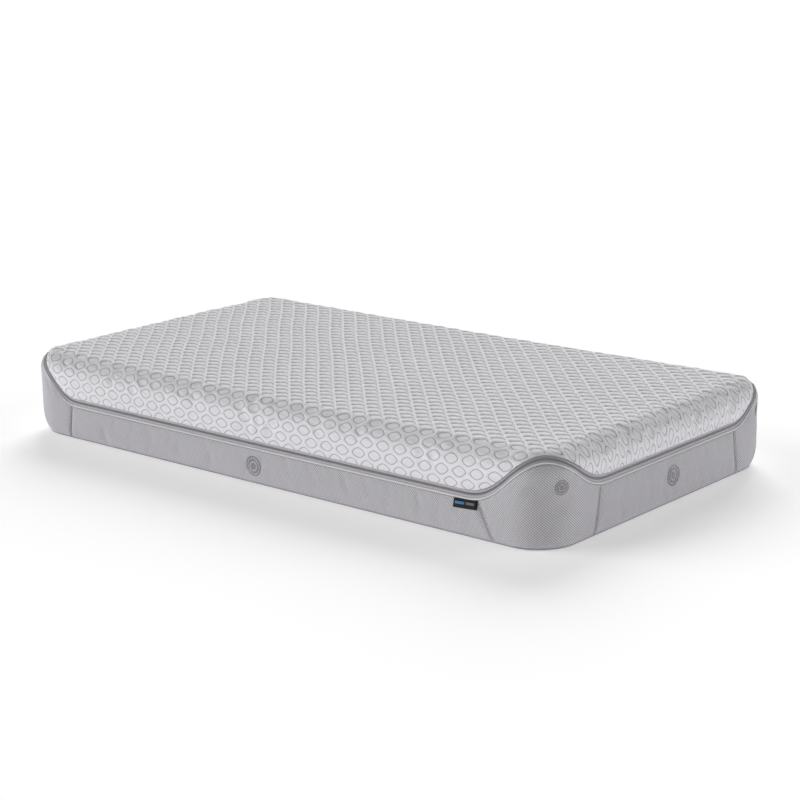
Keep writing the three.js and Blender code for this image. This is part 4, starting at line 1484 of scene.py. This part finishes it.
# ---- Labels ----
LABEL_MIDDLE, LABEL_WIDTH = 487 * MM, 51 * MM
LABEL_FOOT, LABEL_TOP = 51.2 * MM, 67.3 * MM
LABEL_TILT = 3.2 * MM  # its far end is higher, where the piping starts to climb
BAR_FOOT, BAR_TALL, BAR_OFF = 6.6 * MM, 4.4 * MM, 1.25 * MM
LABEL_BARS = (("blue", -11.5 * MM, 21 * MM), ("grey", 11.5 * MM, 18 * MM))  # shift and width
CARE_MIDDLE, CARE_WIDTH = 2 * QUARTER + 300 * MM, 60 * MM
CARE_FOOT, CARE_TOP = 10 * MM, 58 * MM


def build_patch(name, panel, middle, width, foot, top, lift, thickness, tilt=0.0):
    """A small flag sewn in along its top edge, its foot standing a little off the cloth."""
    u, v = np.meshgrid(np.linspace(-1, 1, 19), np.linspace(0, 1, 9))
    s, h = middle + u * width / 2, foot + (top - foot) * v + tilt * (u + 1) / 2
    away = 0.35 * MM + lift * (1 - v) ** 2 + 0.15 * MM * np.sin(5 * u + 2 * v)
    outer = on_panel(panel, s, h, -away - thickness)
    inner = on_panel(panel, s, h, -away)
    return shell(name, outer, inner, np.stack([s - middle, h - foot], -1))


def build_side_label(panel, materials):
    """The black label, with two plain bars in place of print."""
    label = build_patch("black_label", panel, LABEL_MIDDLE, LABEL_WIDTH, LABEL_FOOT, LABEL_TOP,
                        1.2 * MM, 0.6 * MM, LABEL_TILT)
    finish_piece(label, materials["label"], "mattress", ["side_label"])
    slope = LABEL_TILT / LABEL_WIDTH
    for colour, shift, width in LABEL_BARS:
        low = LABEL_FOOT + BAR_FOOT + slope * (shift + LABEL_WIDTH / 2 - width / 2)
        bar = build_patch("label_bar_" + colour, panel, LABEL_MIDDLE + shift, width, low,
                          low + BAR_TALL, 0.0, 0.25 * MM, slope * width)
        push_out(bar, panel, BAR_OFF)
        finish_piece(bar, materials["bar_" + colour], "mattress")


def build_care_label(panel, materials):
    """The white label at the back, sewn down along its foot and its top."""
    care = build_patch("care_tag", panel, CARE_MIDDLE, CARE_WIDTH, CARE_FOOT, CARE_TOP,
                       1.0 * MM, 0.4 * MM)
    finish_piece(care, materials["care"], "mattress", ["care_label"])
    s = np.linspace(CARE_MIDDLE - 28 * MM, CARE_MIDDLE + 28 * MM, 60)
    frames = []
    for h, lift in ((CARE_FOOT + 1.5 * MM, 1.55 * MM), (CARE_TOP - 1.5 * MM, 0.95 * MM)):
        frames.append(line_of_stitches(lambda a, b, lift=lift: on_panel(panel, a, b, -lift), s,
                                       np.full_like(s, h), CARE_STITCH_PITCH))
    sew("care_tag_stitches", stack_frames(frames), CARE_STITCH,
        materials["grey_thread"], "mattress")


def push_out(obj, panel, distance):
    """Moves a small piece off the side that it lies on."""
    _, _, nx, ny = outline(panel.middle)
    obj.data.transform(Matrix.Translation((float(nx) * distance, float(ny) * distance, 0)))


# ---- What the cover holds ----
CAP_SHARES = (0.999, 0.9, 0.8, 0.7, 0.6, 0.5, 0.4, 0.3, 0.2, 0.1)  # rings of a flat cap
FOAM_RISE = 20 * MM  # how far past the shoulder the foam's last full ring lies
SLEEVE_THICKNESS = 1.2 * MM
SLEEVE_FOLD = 0.5 * MM
SLEEVE_FOLD_PITCH = 17 * MM
SLEEVE_FOLD_REACH = 90 * MM


def flat_ring(rim, share, level):
    """A ring of a flat cap: the rim drawn in to a share of its size, with the usual sag."""
    return settle(rim * [share, share, 0] + [0, 0, level])


def loft(name, stations, rows, depth):
    """A closed solid from rings at the given heights, capped flat."""
    rings = [place(stations, h, depth) for h in rows]
    lowest = [flat_ring(rings[0], share, rows[0]) for share in CAP_SHARES[:0:-1]]
    top = rows[-1] if rows[-1] < WALL else HEIGHT - depth
    highest = [flat_ring(rings[-1], share, top) for share in CAP_SHARES[1:]]
    rings = lowest + rings + highest
    grid, count = np.array(rings), len(stations)
    uv = grid[..., :2] + grid[..., 2:] * [0.3, 1]
    faces = grid_faces(len(rings), count, close_columns=True) + end_caps(len(rings), count)
    return add_mesh(name, grid, faces, uv)


def build_filling(materials):
    """The two foam layers, and the ribbed sleeve drawn over them like a sock."""
    stations = around(10 * MM)
    base = loft("support_foam", stations, np.linspace(BASE_FLOOR, BASE_TOP, 9), FOAM_DEPTH)
    finish_piece(base, materials["base_foam"], "mattress", ["foam_base"])
    high = np.concatenate([[MEMORY_FLOOR], np.linspace(WALL, OVER + FOAM_RISE, 12)])
    memory = loft("memory_foam_layer", stations, high, FOAM_DEPTH)
    finish_piece(memory, materials["memory_foam"], "mattress", ["foam_memory"])
    build_sleeve(materials)


def sleeve_wall(stations, heights, inside):
    """Rings up one side of the sleeve and over its shoulder, folded a little at the corners."""
    away = np.min([away_from(middle, stations) for middle in CORNER_MIDDLES.values()], axis=0)
    fold = SLEEVE_FOLD * ease(1 - away / SLEEVE_FOLD_REACH)
    fold = fold * np.sin(stations * 2 * math.pi / SLEEVE_FOLD_PITCH)
    rings = []
    for h in heights:
        depth = SLEEVE_DEPTH - fold * (h / OVER) + (SLEEVE_THICKNESS if inside else 0)
        ring = place(stations, np.full_like(stations, h), depth)
        if inside and h == heights[0]:
            ring[:, 2] += SLEEVE_THICKNESS
        rings.append(ring)
    return rings


def build_sleeve(materials):
    """A thin closed bag with soft folds at its corners."""
    stations = around(6 * MM)
    heights = np.linspace(SLEEVE_FLOOR, WALL, 24)
    heights = np.concatenate([heights, np.linspace(WALL, CORE, 26)[1:]])
    count, rows = len(stations), len(heights) + len(CAP_SHARES)
    points, faces, uvs = [], [], []
    for inside in (False, True):
        walls = sleeve_wall(stations, heights, inside)
        top = HEIGHT - SLEEVE_DEPTH - (SLEEVE_THICKNESS if inside else 0)
        cap = [walls[-1] * [CAP_SHARES[0], CAP_SHARES[0], 1]]
        cap += [flat_ring(walls[-1], share, top) for share in CAP_SHARES[1:]]
        points += walls + cap
        uvs += [np.stack([stations, np.full_like(stations, level)], -1) for level in heights]
        uvs += [ring[:, :2] for ring in cap]
        base = rows * count if inside else 0
        faces += grid_faces(rows, count, base, flip=inside, close_columns=True)
        faces += end_caps(rows, count, base, flip=inside)
    sleeve = add_mesh("barrier_sleeve", np.array(points), faces, np.array(uvs))
    finish_piece(sleeve, materials["sleeve"], "mattress", ["fire_barrier_sleeve"])


# ---- Stage ----
CAMERA_AZIMUTH, CAMERA_ELEVATION, CAMERA_ROLL = 40.42, 14.65, -0.80  # in degrees
CAMERA_DISTANCE = 3.897
CAMERA_LENS, CAMERA_FRAME = 88.53, 36  # in millimetres
AIM_HEIGHT, AIM_RIGHT, AIM_UP = 0.0848, 0.0290, 0.0047

# Each light's name, azimuth, elevation, strength and spread, with all the angles in degrees
LIGHTS = (
    ("key_behind", 213, 27, 2.05, 36),
    ("fill_front", -50, 18, 1.8, 45),
    ("fill_right", 124, 18, 1.05, 45),
)
ROOM_GLOW = 0.13
FLOOR_WHITE = 0.97


def towards(azimuth, elevation):
    """A direction from its angles in degrees. Azimuth 0 is the front and 90 the right end."""
    az, el = math.radians(azimuth), math.radians(elevation)
    return Vector((math.sin(az) * math.cos(el), -math.cos(az) * math.cos(el), math.sin(el)))


def build_camera():
    """The camera, where the photograph's stood."""
    azimuth, roll = math.radians(CAMERA_AZIMUTH), math.radians(CAMERA_ROLL)
    back = towards(CAMERA_AZIMUTH, CAMERA_ELEVATION)
    right = Vector((math.cos(azimuth), math.sin(azimuth), 0))
    up = back.cross(right)
    target = Vector((0, 0, AIM_HEIGHT)) + right * AIM_RIGHT + up * AIM_UP
    camera = bpy.data.cameras.new("camera")
    camera.sensor_width = CAMERA_FRAME
    camera.lens = CAMERA_LENS
    camera.clip_end = 200
    obj = bpy.data.objects.new("camera", camera)
    bpy.context.scene.collection.objects.link(obj)
    x_axis = math.cos(roll) * right + math.sin(roll) * up
    y_axis = -math.sin(roll) * right + math.cos(roll) * up
    obj.matrix_world = Matrix((x_axis, y_axis, back)).transposed().to_4x4()
    obj.location = target + back * CAMERA_DISTANCE
    bpy.context.scene.camera = obj


def add_sun(name, azimuth, elevation, strength, spread):
    """A soft far light."""
    light = bpy.data.lights.new(name, "SUN")
    light.energy = strength
    light.angle = math.radians(spread)
    obj = bpy.data.objects.new(name, light)
    bpy.context.scene.collection.objects.link(obj)
    obj.rotation_mode = "QUATERNION"
    obj.rotation_quaternion = towards(azimuth, elevation).to_track_quat("Z", "Y")


FLOOR_SIZE = 60
FLOOR_GLOW = 0.3  # the paper is lit from below, so that it stays white


def build_stage():
    """A glowing white floor, a dim room, and soft lights from behind and both sides."""
    half = FLOOR_SIZE
    corners = [(-half, -half, 0), (half, -half, 0), (half, half, 0), (-half, half, 0)]
    floor = add_mesh("floor", corners, [(0, 1, 2, 3)], smooth=False)
    n = Nodes("floor_paper", roughness=0.9)
    n.shader.inputs["Base Color"].default_value = (FLOOR_WHITE, FLOOR_WHITE, FLOOR_WHITE, 1)
    n.shader.inputs["Emission Color"].default_value = (1, 1, 1, 1)
    n.shader.inputs["Emission Strength"].default_value = FLOOR_GLOW
    floor.data.materials.append(n.material)
    world = bpy.data.worlds.new("room")
    world.use_nodes = True
    background = world.node_tree.nodes["Background"]
    background.inputs["Color"].default_value = (1, 1, 1, 1)
    background.inputs["Strength"].default_value = ROOM_GLOW
    bpy.context.scene.world = world
    for light in LIGHTS:
        add_sun(*light)
    bpy.context.scene.view_settings.view_transform = "Standard"


def make_materials():
    """Every material, by its short name."""
    return {
        "knit": knit_material(),
        "lining": lining_material(),
        "border": border_material(),
        "tape": tape_material(),
        "chain": chain_material(),
        "piping": piping_material(),
        "binding": binding_material(),
        "grey_thread": thread_material("grey_thread", grey(128, PURPLE), grey(166, PURPLE), 0.35),
        "tape_thread": thread_material("tape_thread", grey(165, PURPLE), grey(200, PURPLE), 0.35),
        "emblem": thread_material("emblem_thread", grey(128, PURPLE), grey(178, PURPLE), 0.9),
        "label": woven_label_material("label_black", grey(4), grey(14), 0.75),
        "bar_blue": woven_label_material("bar_blue", (0.01, 0.16, 0.42, 1), (0.03, 0.28, 0.6, 1), 0.45),
        "bar_grey": woven_label_material("bar_grey", grey(90), grey(130), 0.5),
        "care": care_material(),
        "bottom": bottom_material(),
        "rubber": rubber_material(),
        "sleeve": sleeve_material(),
        "memory_foam": foam_material("memory_foam", grey(236, CREAM), grey(206, DEEP_CREAM), 420.0),
        "base_foam": foam_material("base_foam", grey(240), grey(208), 300.0),
        "metal": metal_material(),
    }


def main():
    """The whole scene."""
    build_camera()
    build_stage()
    materials = make_materials()
    panels = build_border(materials)
    build_cover(materials)
    build_zip(materials)
    build_piping(materials)
    build_slider(materials)
    build_foot(materials)
    build_marks(panels, materials)
    build_side_label(panels["front"], materials)
    build_care_label(panels["back"], materials)
    build_filling(materials)


main()
